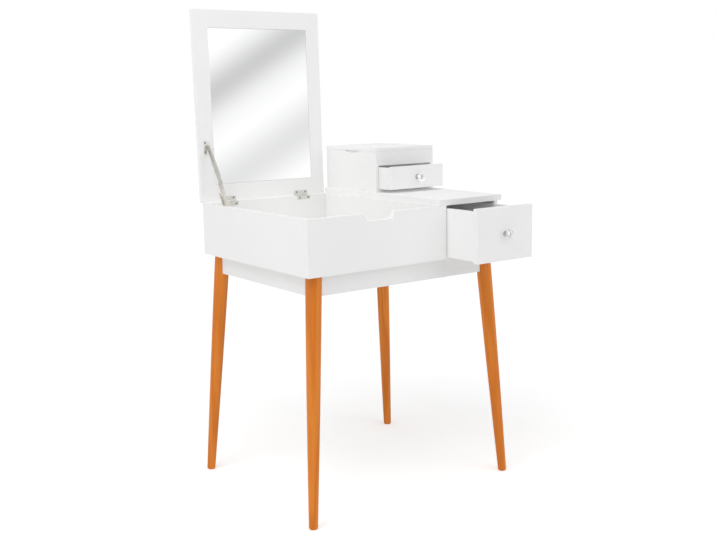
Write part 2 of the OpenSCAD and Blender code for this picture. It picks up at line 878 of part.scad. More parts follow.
module stay_lid_bracket() {
    mid_y = y_back - stay_lid_reach;
    color(nickel) on_open_lid() difference() {
        union() {
            board(
                [bracket_x, mid_y - bracket_half, pivot_z - stay_t],
                [ear_x + stay_t, mid_y + bracket_half, pivot_z]
            );
            board(
                [ear_x, mid_y - ear_r, pivot_z - stay_lid_offset],
                [ear_x + stay_t, mid_y + ear_r, pivot_z]
            );
            translate([ear_x, mid_y, pivot_z - stay_lid_offset]) rod_x(ear_r, stay_t);
        }
        translate([ear_x - over, mid_y, pivot_z - stay_lid_offset])
            rod_x(rivet_r + part_fit, stay_t + 2 * over);
        bracket_screw_spots() screw(screw_r, screw_l, screw_head_r, part_fit);
    }
}

module stay_lid_rivet() {
    color(nickel) in_stay_plane(upper_x - 0.1 - rivet_head_t, stay_a, 0) {
        cylinder(r = rivet_head_r, h = rivet_head_t);
        cylinder(r = rivet_r, h = rivet_head_t + ear_x - upper_x + 0.1 + stay_t);
        translate([0, 0, rivet_head_t + ear_x - upper_x + 0.1 + stay_t])
            cylinder(r = rivet_head_r, h = rivet_head_t);
    }
}

module stay_upper_link() {
    color(nickel) in_stay_plane(upper_x, stay_a, stay_dir + 180)
        link(stay_upper_l, stay_upper_w, stay_lower_w, 0, stay_upper_flange);
}

// The elbow's rivet stays in the upper link and stops short of the lower link
module stay_elbow_rivet() {
    color(nickel) in_stay_plane(upper_x, stay_e, 0) {
        cylinder(r = rivet_r, h = stay_t);
        translate([0, 0, stay_t]) cylinder(r = rivet_head_r, h = rivet_head_t);
    }
}

// The flanges of the lower link point to the wall, those of the upper link away from it
module stay_lower_link() {
    color(nickel) in_stay_plane(lower_x, stay_b, stay_dir)
        link(stay_lower_l, stay_lower_w, stay_lower_w, stay_t - stay_lower_flange, stay_t);
}

// ---- main drawer ----

module drawer_bottom_solid() {
    board(
        [drawer_x0 + drawer_side_t - drawer_groove, drawer_box_y - drawer_groove, drawer_bottom_z],
        [drawer_box_x1 - drawer_side_t + drawer_groove, drawer_box_y + drawer_side_l, drawer_floor]
    );
}

module drawer_front() {
    color(white) difference() {
        board([drawer_x0, drawer_y, drawer_z], [drawer_x1, drawer_box_y, drawer_top]);
        drawer_bottom_solid();
        knob_hole(drawer_knob_at, drawer_front_t);
    }
}

module drawer_side(x0) {
    color(white) difference() {
        board(
            [x0, drawer_box_y, drawer_side_z],
            [x0 + drawer_side_t, drawer_box_y + drawer_side_l, drawer_side_top]
        );
        drawer_bottom_solid();
    }
}

module drawer_left_side() { drawer_side(drawer_x0); }
module drawer_right_side() { drawer_side(drawer_box_x1 - drawer_side_t); }

module drawer_back() {
    color(white) board(
        [drawer_x0 + drawer_side_t, drawer_box_y + drawer_side_l - drawer_side_t, drawer_floor],
        [drawer_box_x1 - drawer_side_t, drawer_box_y + drawer_side_l, drawer_side_top]
    );
}

module drawer_bottom() { color(white) drawer_bottom_solid(); }

// ---- knobs ----

// Children drawn with +Z pointing out of a drawer's face at p
module knob_at(p) {
    translate(p) rotate([90, 0, 0]) children();
}

module knob_hole(p, front) {
    knob_at(p) translate([0, 0, -front - over]) cylinder(r = knob_screw_r + 0.3, h = front + 2 * over);
}

// A twelve sided crystal: a cone that opens from the neck, a girdle and a cut front
module crystal(p) {
    r = knob_d / 2;
    back_l = (knob_l - knob_girdle) * 0.55;
    front_l = knob_l - knob_girdle - back_l;
    color(clear) knob_at(p) translate([0, 0, knob_base_l]) difference() {
        rotate([0, 0, 15]) union() {
            cylinder(r1 = knob_neck_r, r2 = r, h = back_l, $fn = knob_sides);
            translate([0, 0, back_l]) cylinder(r = r, h = knob_girdle, $fn = knob_sides);
            translate([0, 0, back_l + knob_girdle])
                cylinder(r1 = r, r2 = r * 0.62, h = front_l, $fn = knob_sides);
        }
        translate([0, 0, -over]) cylinder(r = knob_screw_r + part_fit, h = knob_stud_l + over + 0.2);
    }
}

// A round foot, a waist and the stud that the crystal is set on
module knob_base(p) {
    r = knob_base_d / 2;
    color(nickel) knob_at(p) difference() {
        rotate_extrude() polygon([
            [0, 0],
            [r, 0],
            [r, 1.2],
            [r - 1, 2],
            [knob_neck_r - 0.8, knob_base_l * 0.5],
            [knob_neck_r, knob_base_l],
            [knob_screw_r, knob_base_l],
            [knob_screw_r, knob_base_l + knob_stud_l],
            [0, knob_base_l + knob_stud_l]
        ]);
        translate([0, 0, -over]) cylinder(r = knob_screw_r - 0.4, h = knob_grip + over);
    }
}

// Pan head screw from inside the drawer, necked down where it bites in the base
module knob_screw(p, front) {
    color(nickel) knob_at(p) rotate_extrude() polygon([
        [0, -front - knob_head_t],
        [knob_head_r, -front - knob_head_t],
        [knob_head_r, -front],
        [knob_screw_r, -front],
        [knob_screw_r, -0.3],
        [knob_screw_r - 0.4 - part_fit, -0.3],
        [knob_screw_r - 0.4 - part_fit, knob_grip - 0.5],
        [0, knob_grip - 0.5]
    ]);
}

module drawer_knob() { crystal(drawer_knob_at); }
module drawer_knob_base() { knob_base(drawer_knob_at); }
module drawer_knob_screw() { knob_screw(drawer_knob_at, drawer_front_t); }

// ---- top box ----

module box_left_side() {
    color(white) difference() {
        board([box_x0, box_y0, z_top], [box_in_x0, y_back, box_wall_z]);
        translate([
            box_x0 - over,
            y_back - box_notch_back,
            box_wall_z - box_notch_depth + box_notch_r
        ])
            rod_x(box_notch_r, box_notch_in + over);
    }
}

module box_right_side() {
    color(white) difference() {
        board([box_in_x1, box_y0, z_top], [box_x1, y_back, box_wall_z]);
        at_box_hinges() {
            hinge_pocket(box_hinge_w, box_barrel_r);
            strip_pocket(box_hinge_w, box_barrel_r, box_wall_t);
        }
        box_wall_screws(part_fit);
    }
}

module box_back() {
    color(white) board([box_in_x0, box_in_y1, z_top], [box_in_x1, y_back, box_wall_z]);
}

module box_floor() {
    color(white) board([box_in_x0, box_y0, z_top], [box_in_x1, box_in_y1, box_floor_z]);
}

module box_shelf() {
    color(white) board(
        [box_in_x0, box_y0 + box_wall_t, box_shelf_z],
        [box_in_x1, box_in_y1, box_shelf_z + box_shelf_t]
    );
}

module box_upper_front() {
    color(white) board(
        [box_in_x0, box_y0, box_shelf_z],
        [box_in_x1, box_y0 + box_wall_t, box_wall_z]
    );
}

module box_hinge_leaves() {
    color(nickel) at_box_hinges() case_leaf(
        box_hinge_w, box_barrel_r, box_pin_r, box_leaf_t, box_wall_t, box_flange,
        box_screw_x, box_flange_screw_z, small_screw_r, small_screw_l, small_screw_head_r
    );
}

module box_lid() {
    color(white) difference() {
        board([box_x0, box_y0, box_lid_z], [box_x1, y_back, box_top]);
        at_box_hinges() hinge_pocket(box_hinge_w, box_barrel_r);
        box_cover_screws(part_fit);
    }
}

module box_hinge_lid_leaves() {
    color(nickel) at_box_hinges() lid_leaf(
        box_hinge_w, box_barrel_r, box_pin_r, box_leaf_t, box_lid_leaf,
        box_screw_x, box_screw_y, small_screw_r, small_screw_l, small_screw_head_r
    );
}

module box_lid_screws() { color(nickel) box_cover_screws(); }

// ---- small drawer ----

module small_bottom_solid() {
    board(
        [small_x0 + small_side_t - small_groove, small_box_y - small_groove, small_bottom_z],
        [small_x1 - small_side_t + small_groove, small_box_y + small_side_l, small_floor]
    );
}

module small_drawer_front() {
    color(white) difference() {
        board([small_x0, small_y, small_z], [small_x1, small_box_y, small_top]);
        small_bottom_solid();
        knob_hole(small_knob_at, small_front_t);
    }
}

module small_side(x0) {
    color(white) difference() {
        board(
            [x0, small_box_y, small_side_z],
            [x0 + small_side_t, small_box_y + small_side_l, small_side_top]
        );
        small_bottom_solid();
    }
}

module small_drawer_left_side() { small_side(small_x0); }
module small_drawer_right_side() { small_side(small_x1 - small_side_t); }

module small_drawer_back() {
    color(white) board(
        [small_x0 + small_side_t, small_box_y + small_side_l - small_side_t, small_floor],
        [small_x1 - small_side_t, small_box_y + small_side_l, small_side_top]
    );
}

module small_drawer_bottom() { color(white) small_bottom_solid(); }
module small_drawer_knob() { crystal(small_knob_at); }
module small_drawer_knob_base() { knob_base(small_knob_at); }
module small_drawer_knob_screw() { knob_screw(small_knob_at, small_front_t); }

// ---- what is drawn ----

left_side();
right_side();
back_panel();
front_panel();
partition();
compartment_floor();
bay_floor();
top_board();
drawer_guide();
apron_front();
apron_back();
apron_left();
apron_right();
corner_blocks();
leg_front_left();
leg_front_right();
leg_back_left();
leg_back_right();
leg_bolts();
leg_nuts();
hinge_case_leaves();
hinge_pins();
case_screws();
stay_case_bracket();
stay_case_rivet();
lid_board();
mirror();
hinge_lid_leaves();
lid_screws();
stay_lid_bracket();
stay_lid_rivet();
stay_upper_link();
stay_elbow_rivet();
stay_lower_link();
drawer_front();
drawer_left_side();
drawer_right_side();
drawer_back();
drawer_bottom();
drawer_knob();
drawer_knob_base();
drawer_knob_screw();
box_left_side();
box_right_side();
box_back();
box_floor();
box_shelf();
box_upper_front();
box_hinge_leaves();
box_lid();
box_hinge_lid_leaves();
box_lid_screws();
small_drawer_front();
small_drawer_left_side();
small_drawer_right_side();
small_drawer_back();
small_drawer_bottom();
small_drawer_knob();
small_drawer_knob_base();
small_drawer_knob_screw();
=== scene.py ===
# %% [markdown]
# # A flip top vanity table, dressed for a picture
# The table's boards, hinges, stay and drawers come from a construction model, where every size is
# already right. This lesson gives them the look of the real object: white satin paint with eased
# edges, stained and turned pine legs, a polished mirror, nickel hinges with their screws, and cut
# crystal knobs. Each step first says what the real piece is, and then why it is made the way it is.

# %% Load the construction model as a fixed frame
import json
import math

import bmesh
import bpy
import numpy as np
from mathutils import Matrix, Vector


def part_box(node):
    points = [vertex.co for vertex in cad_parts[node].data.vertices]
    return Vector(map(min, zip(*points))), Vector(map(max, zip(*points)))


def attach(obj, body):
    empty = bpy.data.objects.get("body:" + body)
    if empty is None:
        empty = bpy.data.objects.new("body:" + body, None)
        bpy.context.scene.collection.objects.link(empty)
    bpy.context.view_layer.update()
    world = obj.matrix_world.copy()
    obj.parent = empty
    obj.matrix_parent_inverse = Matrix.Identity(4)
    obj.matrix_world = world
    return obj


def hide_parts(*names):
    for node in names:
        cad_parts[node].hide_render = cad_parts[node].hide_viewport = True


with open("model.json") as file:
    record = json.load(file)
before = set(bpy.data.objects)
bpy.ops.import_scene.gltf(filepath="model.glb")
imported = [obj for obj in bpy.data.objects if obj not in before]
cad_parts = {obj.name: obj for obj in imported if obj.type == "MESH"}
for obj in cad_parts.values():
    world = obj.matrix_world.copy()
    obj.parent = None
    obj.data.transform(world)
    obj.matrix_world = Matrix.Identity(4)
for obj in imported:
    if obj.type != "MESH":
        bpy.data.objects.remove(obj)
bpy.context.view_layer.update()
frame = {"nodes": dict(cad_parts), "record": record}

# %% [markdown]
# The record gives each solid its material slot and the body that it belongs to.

MM = 0.001
record = frame["record"]
slot_of = {part["node"]: part["material_slot"] for part in record["subparts"]}
body_of = {
    node: body for body, nodes in record["behaviour"]["bodies"].items() for node in nodes
}

# %% [markdown]
# ## Camera
# The camera was found by fitting a pinhole view to the straight edges of the table. Its focal
# length is in pixels of a 716 pixel wide picture, so it is turned into millimetres on a 36 mm
# sensor. The three axes are built from the turn, the dip and the small roll, which is easier to
# check than three Euler angles.

# %% Set up the camera
PICTURE_W = 716
FOCAL_PIXELS = 1017.7
SENSOR_MM = 36.0
CAMERA_AT = Vector((-1.5413, -2.1493, 1.0075))
TURN, DIP, ROLL = (math.radians(a) for a in (36.0, -9.8, -1.0))


def camera_axes():
    """The camera's right, up and viewing directions."""
    ahead = Vector((
        math.sin(TURN) * math.cos(DIP),
        math.cos(TURN) * math.cos(DIP),
        math.sin(DIP),
    ))
    level = ahead.cross(Vector((0, 0, 1))).normalized()
    over = level.cross(ahead)
    right = math.cos(ROLL) * level + math.sin(ROLL) * over
    up = math.cos(ROLL) * over - math.sin(ROLL) * level
    return right, up, ahead


right, up, ahead = camera_axes()
bpy.ops.object.camera_add(location=CAMERA_AT)
camera = bpy.context.object
camera.name = "camera"
camera.matrix_world = (
    Matrix.Translation(CAMERA_AT) @ Matrix((right, up, -ahead)).transposed().to_4x4()
)
camera.data.sensor_width = SENSOR_MM
camera.data.lens = FOCAL_PIXELS / PICTURE_W * SENSOR_MM
bpy.context.scene.camera = camera
bpy.context.scene.view_settings.view_transform = "Standard"
print("lens:", round(camera.data.lens, 2), "mm")

# %% [markdown]
# ## Node trees
# All finishes are made of nodes. Small helpers keep the cells short: one adds a node and sets its
# values, one joins two sockets, and one sets the shader's own sockets. A shared effect is a node
# group that puts out only masks and heights, and each material places it with its own numbers.

# %% Helpers for node trees
def add_node(tree, kind, inputs=(), **settings):
    """A new node with its settings, and with input values given by socket name or number."""
    node = tree.nodes.new(kind)
    for key, value in settings.items():
        setattr(node, key, value)
    for key, value in dict(inputs).items():
        node.inputs[key].default_value = value
    return node


def join(tree, node, out, other, into):
    """Joins output out of node to input into of other."""
    tree.links.new(node.outputs[out], other.inputs[into])


def new_group(name, inputs, outputs):
    """An empty node group with its sockets, and its input and output nodes."""
    tree = bpy.data.node_groups.new(name, "ShaderNodeTree")
    for label, kind, value in inputs:
        socket = tree.interface.new_socket(name=label, in_out="INPUT", socket_type=kind)
        if value is not None:
            socket.default_value = value
    for label, kind in outputs:
        tree.interface.new_socket(name=label, in_out="OUTPUT", socket_type=kind)
    return tree, tree.nodes.new("NodeGroupInput"), tree.nodes.new("NodeGroupOutput")


def place_group(tree, group, **values):
    """A group placed in a material, with its own values."""
    node = add_node(tree, "ShaderNodeGroup", node_tree=group)
    for label, value in values.items():
        node.inputs[label.capitalize()].default_value = value
    return node


# %% Helpers for materials
def new_material(name):
    """A material with its tree and its shader."""
    material = bpy.data.materials.new(name)
    material.use_nodes = True
    tree = material.node_tree
    return material, tree, tree.nodes["Principled BSDF"]


def start_finish(name, effect, **values):
    """A new material with an effect placed on the object's own coordinates."""
    material, tree, shader = new_material(name)
    place = add_node(tree, "ShaderNodeTexCoord")
    placed = place_group(tree, effect, **values)
    join(tree, place, "Object", placed, "Place")
    return material, tree, shader, placed


def set_sockets(shader, values):
    """Sets what is the same all over a surface on the shader's own sockets."""
    for name, value in values.items():
        shader.inputs[name].default_value = value


# %% [markdown]
# ## Shared effects
# Rolled paint dries with a fine ripple, like orange peel, and its colour drifts a little over a
# large board. The group gives both: a height for a Bump node, and a tone for the colour. Its
# coordinates come from the object, so that the ripple has its real size on every board.

# %% Effect: rolled paint
RIPPLE_SCALE, SWELL_SCALE, DRIFT_SCALE, RIPPLE_SHARE = 420.0, 38.0, 5.0, 0.7


def build_rolled_paint():
    """A group with the slow tone of the paint's colour and the height of its ripple."""
    tree, start, end = new_group(
        "rolled paint",
        [("Place", "NodeSocketVector", None), ("Ripple", "NodeSocketFloat", RIPPLE_SCALE)],
        [("Tone", "NodeSocketFloat"), ("Height", "NodeSocketFloat")],
    )
    ripple = add_node(tree, "ShaderNodeTexNoise", {"Detail": 2.0, "Roughness": 0.45})
    drift = add_node(tree, "ShaderNodeTexNoise", {"Scale": DRIFT_SCALE, "Detail": 3.0})
    swell = add_node(tree, "ShaderNodeTexNoise", {"Scale": SWELL_SCALE, "Detail": 1.0})
    high = add_node(tree, "ShaderNodeMath", {1: RIPPLE_SHARE}, operation="MULTIPLY_ADD")
    low = add_node(tree, "ShaderNodeMath", {1: 1 - RIPPLE_SHARE}, operation="MULTIPLY")
    for noise in (ripple, drift, swell):
        join(tree, start, "Place", noise, "Vector")
    join(tree, start, "Ripple", ripple, "Scale")
    join(tree, ripple, "Fac", high, 0)
    join(tree, swell, "Fac", low, 0)
    join(tree, low, 0, high, 2)
    join(tree, high, 0, end, "Height")
    join(tree, drift, "Fac", end, "Tone")
    return tree


rolled_paint = build_rolled_paint()
print(rolled_paint.name, "has", len(rolled_paint.nodes), "nodes")

# %% [markdown]
# Pine has bands of early and late wood, and fine fibres that run along the piece. The bands are
# the height lines of a slow noise that is stretched along Z, as growth rings are where a turned
# piece cuts them: a sine turns its slopes into rings. The fibres are a fine noise, stretched more.

# %% Effect: pine grain
BAND_SCALE, FIBRE_SCALE = 24.0, 700.0
BAND_STRETCH, FIBRE_STRETCH = (1.0, 1.0, 0.06), (1.0, 1.0, 0.02)
RING_COUNT, EARLY_WOOD, LATE_WOOD, FIBRE_SHARE = 34.0, 0.25, 0.6, 0.45


def build_pine_grain():
    """A group with the mask of the bands and fibres, and the fibres alone."""
    tree, start, end = new_group(
        "pine grain",
        [
            ("Place", "NodeSocketVector", None),
            ("Bands", "NodeSocketFloat", BAND_SCALE),
            ("Fibres", "NodeSocketFloat", FIBRE_SCALE),
        ],
        [("Grain", "NodeSocketFloat"), ("Fibre", "NodeSocketFloat")],
    )
    long_way = add_node(tree, "ShaderNodeMapping", {"Scale": BAND_STRETCH})
    longer = add_node(tree, "ShaderNodeMapping", {"Scale": FIBRE_STRETCH})
    cloud = add_node(tree, "ShaderNodeTexNoise", {"Detail": 2.0, "Roughness": 0.4})
    fibre = add_node(tree, "ShaderNodeTexNoise", {"Detail": 3.0, "Roughness": 0.6})
    rings = add_node(tree, "ShaderNodeMath", {1: RING_COUNT}, operation="MULTIPLY")
    wave = add_node(tree, "ShaderNodeMath", operation="SINE")
    late = add_node(
        tree, "ShaderNodeMapRange",
        {"From Min": -1.0, "To Min": EARLY_WOOD, "To Max": LATE_WOOD},
    )
    both = add_node(tree, "ShaderNodeMath", {1: FIBRE_SHARE}, operation="MULTIPLY_ADD")
    join(tree, start, "Place", long_way, "Vector")
    join(tree, start, "Place", longer, "Vector")
    join(tree, long_way, "Vector", cloud, "Vector")
    join(tree, longer, "Vector", fibre, "Vector")
    join(tree, start, "Bands", cloud, "Scale")
    join(tree, start, "Fibres", fibre, "Scale")
    join(tree, cloud, "Fac", rings, 0)
    join(tree, rings, 0, wave, 0)
    join(tree, wave, 0, late, "Value")
    join(tree, fibre, "Fac", both, 0)
    join(tree, late, "Result", both, 2)
    join(tree, both, 0, end, "Grain")
    join(tree, fibre, "Fac", end, "Fibre")
    return tree


pine_grain = build_pine_grain()
print(pine_grain.name, "has", len(pine_grain.nodes), "nodes")

# %% [markdown]
# Plated steel is brushed before it is plated, so it has hair lines one way and soft clouds where
# it was handled. The group gives a value for the roughness and a height.

# %% Effect: brushed plate
LINE_SCALE, CLOUD_SCALE, LINE_STRETCH = 1500.0, 160.0, (1.0, 0.06, 0.06)


def build_brushed_plate():
    """A group with soft clouds for the colour and fine lines for gloss and relief."""
    tree, start, end = new_group(
        "brushed plate",
        [("Place", "NodeSocketVector", None), ("Lines", "NodeSocketFloat", LINE_SCALE)],
        [("Cloud", "NodeSocketFloat"), ("Line", "NodeSocketFloat")],
    )
    along = add_node(tree, "ShaderNodeMapping", {"Scale": LINE_STRETCH})
    line = add_node(tree, "ShaderNodeTexNoise", {"Detail": 2.0})
    cloud = add_node(tree, "ShaderNodeTexNoise", {"Scale": CLOUD_SCALE, "Detail": 3.0})
    join(tree, start, "Place", along, "Vector")
    join(tree, along, "Vector", line, "Vector")
    join(tree, start, "Lines", line, "Scale")
    join(tree, start, "Place", cloud, "Vector")
    join(tree, line, "Fac", end, "Line")
    join(tree, cloud, "Fac", end, "Cloud")
    return tree


brushed_plate = build_brushed_plate()
print(brushed_plate.name, "has", len(brushed_plate.nodes), "nodes")

# %% [markdown]
# ## Finishes
# A material takes the masks of its effect, spreads them between two colours or two roughness
# values, and feeds the height to a Bump node. The helpers below do that spreading.

# %% Helpers for finishes
TONE_DARK, TONE_LIGHT = 0.3, 0.7


def spread_value(tree, node, out, low, high, into):
    """Spreads a mask from 0 to 1 between two numbers, into a socket of the shader."""
    ramp = add_node(tree, "ShaderNodeMapRange", {"To Min": low, "To Max": high})
    join(tree, node, out, ramp, "Value")
    tree.links.new(ramp.outputs["Result"], into)


def set_stops(ramp, stops):
    """Gives a colour ramp its stops, each a position and a colour."""
    while len(ramp.color_ramp.elements) < len(stops):
        ramp.color_ramp.elements.new(0.5)
    for element, (at, colour) in zip(ramp.color_ramp.elements, stops):
        element.position = at
        element.color = (*colour, 1.0)


def spread_colour(tree, node, out, stops, into):
    """Spreads a mask over a colour ramp, into a socket of the shader."""
    ramp = add_node(tree, "ShaderNodeValToRGB")
    set_stops(ramp, stops)
    join(tree, node, out, ramp, "Fac")
    tree.links.new(ramp.outputs["Color"], into)


def two_tones(dark, light):
    """The stops of a ramp between two colours, over the middle of a noise."""
    return [(TONE_DARK, dark), (TONE_LIGHT, light)]


def bump(tree, node, out, strength, distance, shader):
    """Feeds a height to the shader's normal through a Bump node."""
    relief = add_node(tree, "ShaderNodeBump", {"Strength": strength, "Distance": distance})
    join(tree, node, out, relief, "Height")
    join(tree, relief, "Normal", shader, "Normal")


# %% [markdown]
# The boards are painted with a satin white that is a trace cool. The floors inside the compartment,
# the drawer bay and the box are a trace warmer and their ripple is finer. The warmth is painted
# shade: the warm tint of light bounced into those shaded floors. One colour would look like
# plastic, so each paint drifts between two whites, and its gloss drifts with them.

# %% Finish: white satin paint
SATIN_ROUGH, SATIN_GLOSS = (0.34, 0.44), 0.25
PAINT_RELIEF, FINE_RIPPLE = (0.12, 0.15 * MM), 520.0


def make_paint(name, dark, light, ripple=RIPPLE_SCALE):
    """Satin paint between two whites, with the ripple that a roller leaves."""
    material, tree, shader, film = start_finish(name, rolled_paint, ripple=ripple)
    spread_colour(tree, film, "Tone", two_tones(dark, light), shader.inputs["Base Color"])
    spread_value(tree, film, "Tone", *SATIN_ROUGH, shader.inputs["Roughness"])
    bump(tree, film, "Height", *PAINT_RELIEF, shader)
    set_sockets(shader, {"Specular IOR Level": SATIN_GLOSS})
    return material


white_paint = make_paint("white satin paint", (0.91, 0.911, 0.912), (0.93, 0.93, 0.927))
# The warmer whites of the inside floors are painted shade: the warm tint of light bounced into
# them.
shade_warmed_paint = make_paint(
    "white paint inside", (0.91, 0.906, 0.88), (0.93, 0.926, 0.90), FINE_RIPPLE
)
print("paints:", white_paint.name, "and", shade_warmed_paint.name)

# %% [markdown]
# The legs are stained a strong orange brown, which soaks deeper into the early wood, so the ramp
# runs from a dark to a light stain with the grain. The corner blocks under the case are bare pine,
# a ramp of pale colours on the same grain, turned so that it runs level from front to back.

# %% Finish: stained and bare pine
FIBRE_ROUGH, FIBRE_RELIEF, PINE_GLOSS = 0.07, (0.2, 0.1 * MM), 0.3
STAINED_ROUGH, BARE_ROUGH = 0.38, 0.6


def make_pine(name, stops, rough, attribute=None, turn=(0, 0, 0)):
    """Pine whose grain follows a stored attribute, or the object's turned coordinates."""
    material, tree, shader = new_material(name)
    grain = place_group(tree, pine_grain)
    if attribute:
        place = add_node(tree, "ShaderNodeAttribute", attribute_name=attribute)
        join(tree, place, "Vector", grain, "Place")
    else:
        place = add_node(tree, "ShaderNodeTexCoord")
        turned = add_node(tree, "ShaderNodeMapping", {"Rotation": turn})
        join(tree, place, "Object", turned, "Vector")
        join(tree, turned, "Vector", grain, "Place")
    spread_colour(tree, grain, "Grain", stops, shader.inputs["Base Color"])
    spread_value(
        tree, grain, "Fibre", rough - FIBRE_ROUGH, rough + FIBRE_ROUGH,
        shader.inputs["Roughness"],
    )
    bump(tree, grain, "Fibre", *FIBRE_RELIEF, shader)
    set_sockets(shader, {"Specular IOR Level": PINE_GLOSS})
    return material


stained_pine = make_pine(
    "stained pine",
    [(0.2, (0.55, 0.135, 0.006)), (0.5, (0.655, 0.177, 0.010)), (0.8, (0.76, 0.23, 0.018))],
    STAINED_ROUGH,
    attribute="grain_place",
)
bare_pine = make_pine(
    "bare pine",
    [(0.2, (0.56, 0.36, 0.19)), (0.5, (0.68, 0.48, 0.28)), (0.8, (0.76, 0.57, 0.36))],
    BARE_ROUGH,
    turn=(math.pi / 2, 0, 0),
)
print("woods:", stained_pine.name, "and", bare_pine.name)

# %% [markdown]
# All the metal is the same brushed plate in other colours. The stay is satin nickel, the hinges
# and the stay's brackets are a paler nickel, the small screws are oiled steel, bolts and nuts are
# zinc, and the feet of the knobs are a dark and very smooth chrome.

# %% Finish: plated steel
PLATE_RELIEF, CHROME_LINES = (0.1, 0.03 * MM), 500.0


def make_plate(name, dark, light, smooth, rough, lines=LINE_SCALE):
    """Plated metal between two colours, with a roughness that follows its hair lines."""
    material, tree, shader, plate = start_finish(name, brushed_plate, lines=lines)
    spread_colour(tree, plate, "Cloud", two_tones(dark, light), shader.inputs["Base Color"])
    spread_value(tree, plate, "Line", smooth, rough, shader.inputs["Roughness"])
    bump(tree, plate, "Line", *PLATE_RELIEF, shader)
    set_sockets(shader, {"Metallic": 1.0})
    return material


nickel = make_plate("satin nickel", (0.49, 0.475, 0.44), (0.58, 0.565, 0.53), 0.26, 0.42)
pale_nickel = make_plate("pale nickel", (0.68, 0.675, 0.635), (0.77, 0.765, 0.73), 0.24, 0.36)
dark_steel = make_plate("oiled steel", (0.22, 0.215, 0.205), (0.32, 0.31, 0.295), 0.28, 0.42)
zinc = make_plate("bright zinc", (0.60, 0.61, 0.62), (0.70, 0.71, 0.72), 0.22, 0.36)
chrome = make_plate(
    "dark chrome", (0.36, 0.36, 0.365), (0.46, 0.46, 0.465), 0.06, 0.14, CHROME_LINES
)
print("metals:", ", ".join(m.name for m in (nickel, pale_nickel, dark_steel, zinc, chrome)))

# %% [markdown]
# Crystal and the mirror's ground edge are clear: they only bend the light, and faint clouds of
# polish give them a little roughness. The mirror's face could be glass over silver, but a metal
# with almost no roughness looks the same and is cheaper to render.

# %% Finish: crystal, polished glass edge and mirror
POLISH_LINES, MIRROR_RIPPLE, MIRROR_ROUGH = 300.0, 60.0, (0.0, 0.012)


def make_glass(name, colour, low, high, index):
    """Clear glass of a given refractive index."""
    material, tree, shader, polish = start_finish(name, brushed_plate, lines=POLISH_LINES)
    spread_value(tree, polish, "Cloud", low, high, shader.inputs["Roughness"])
    set_sockets(
        shader, {"Base Color": (*colour, 1.0), "IOR": index, "Transmission Weight": 1.0}
    )
    return material


def make_mirror(name, dark, light):
    """Silvered glass: a nearly white metal without any visible roughness."""
    material, tree, shader, film = start_finish(name, rolled_paint, ripple=MIRROR_RIPPLE)
    spread_value(tree, film, "Tone", *MIRROR_ROUGH, shader.inputs["Roughness"])
    spread_colour(tree, film, "Tone", two_tones(dark, light), shader.inputs["Base Color"])
    set_sockets(shader, {"Metallic": 1.0})
    return material


crystal = make_glass("cut crystal", (0.94, 0.945, 0.95), 0.0, 0.02, 1.54)
glass_edge = make_glass("polished glass edge", (0.80, 0.92, 0.88), 0.03, 0.08, 1.52)
silvered = make_mirror("silvered glass", (0.955, 0.962, 0.96), (0.965, 0.97, 0.968))
finish_of = {
    "white_paint": white_paint, "stained_wood": stained_pine, "bare_wood": bare_pine,
    "nickel_steel": nickel, "zinc_steel": zinc, "chrome": chrome, "crystal": crystal,
    "mirror_glass": silvered,
}
print("finishes:", ", ".join(sorted(finish_of)))

# %% [markdown]
# ## Working on meshes
# Every piece is modelled with the same tools as by hand. Blender's operators act on whatever is
# selected, so one helper selects a single object, and another selects faces or edges by a test.

# %% Helpers for selecting
def deselect():
    """Deselects everything, as an operator acts on all that is selected."""
    bpy.ops.object.select_all(action="DESELECT")


def only(obj):
    """Selects obj alone and makes it the active object."""
    deselect()
    obj.select_set(True)
    bpy.context.view_layer.objects.active = obj


def mode(name):
    """Switches between OBJECT and EDIT mode."""
    bpy.ops.object.mode_set(mode=name)


def select_mesh():
    """Selects the whole mesh in edit mode."""
    bpy.ops.mesh.select_all(action="SELECT")


def choose(obj, kind, test):
    """Selects, in edit mode, the EDGE or FACE parts of obj that pass the test."""
    bpy.ops.mesh.select_mode(type=kind)
    bpy.ops.mesh.select_all(action="DESELECT")
    shape = bmesh.from_edit_mesh(obj.data)
    found = [part for part in {"EDGE": shape.edges, "FACE": shape.faces}[kind] if test(part)]
    for part in found:
        part.select_set(True)
    bmesh.update_edit_mesh(obj.data)
    return len(found)


def settle(obj):
    """Puts the place, turn and size of obj into its mesh."""
    only(obj)
    bpy.ops.object.transform_apply(location=True, rotation=True, scale=True)


def apply_last(obj):
    """Applies the newest modifier of obj."""
    only(obj)
    bpy.ops.object.modifier_apply(modifier=obj.modifiers[-1].name)


def cut_away(obj, tool):
    """Takes the tool's shape out of obj, and deletes the tool."""
    only(obj)
    bpy.ops.object.modifier_add(type="BOOLEAN")
    obj.modifiers[-1].object = tool
    obj.modifiers[-1].operation = "DIFFERENCE"
    apply_last(obj)
    bpy.data.objects.remove(tool)


# %% [markdown]
# A cut edge of painted fibreboard is never sharp: it is sanded before it is painted, and the paint
# rounds it a little more. That thin light line along each edge is what makes a board look real.
# The helper picks the outer edges that are long enough, so that the rims of small screw holes
# stay as they are, and bevels them with two segments. Weighted normals then keep the broad faces
# flat in the light.

# %% Helpers for edges, smoothing and hand-over
SHARP_ANGLE = math.radians(50)


def ease_edges(obj, width, least=0.0, segments=2):
    """Rounds the outer edges of obj that are at least that long."""
    only(obj)
    mode("EDIT")
    count = choose(
        obj, "EDGE",
        lambda e: e.is_manifold and e.is_convex and e.calc_face_angle(0) > SHARP_ANGLE
        and e.calc_length() >= least,
    )
    bpy.ops.mesh.bevel(offset=width, segments=segments, affect="EDGES", clamp_overlap=False)
    mode("OBJECT")
    return count


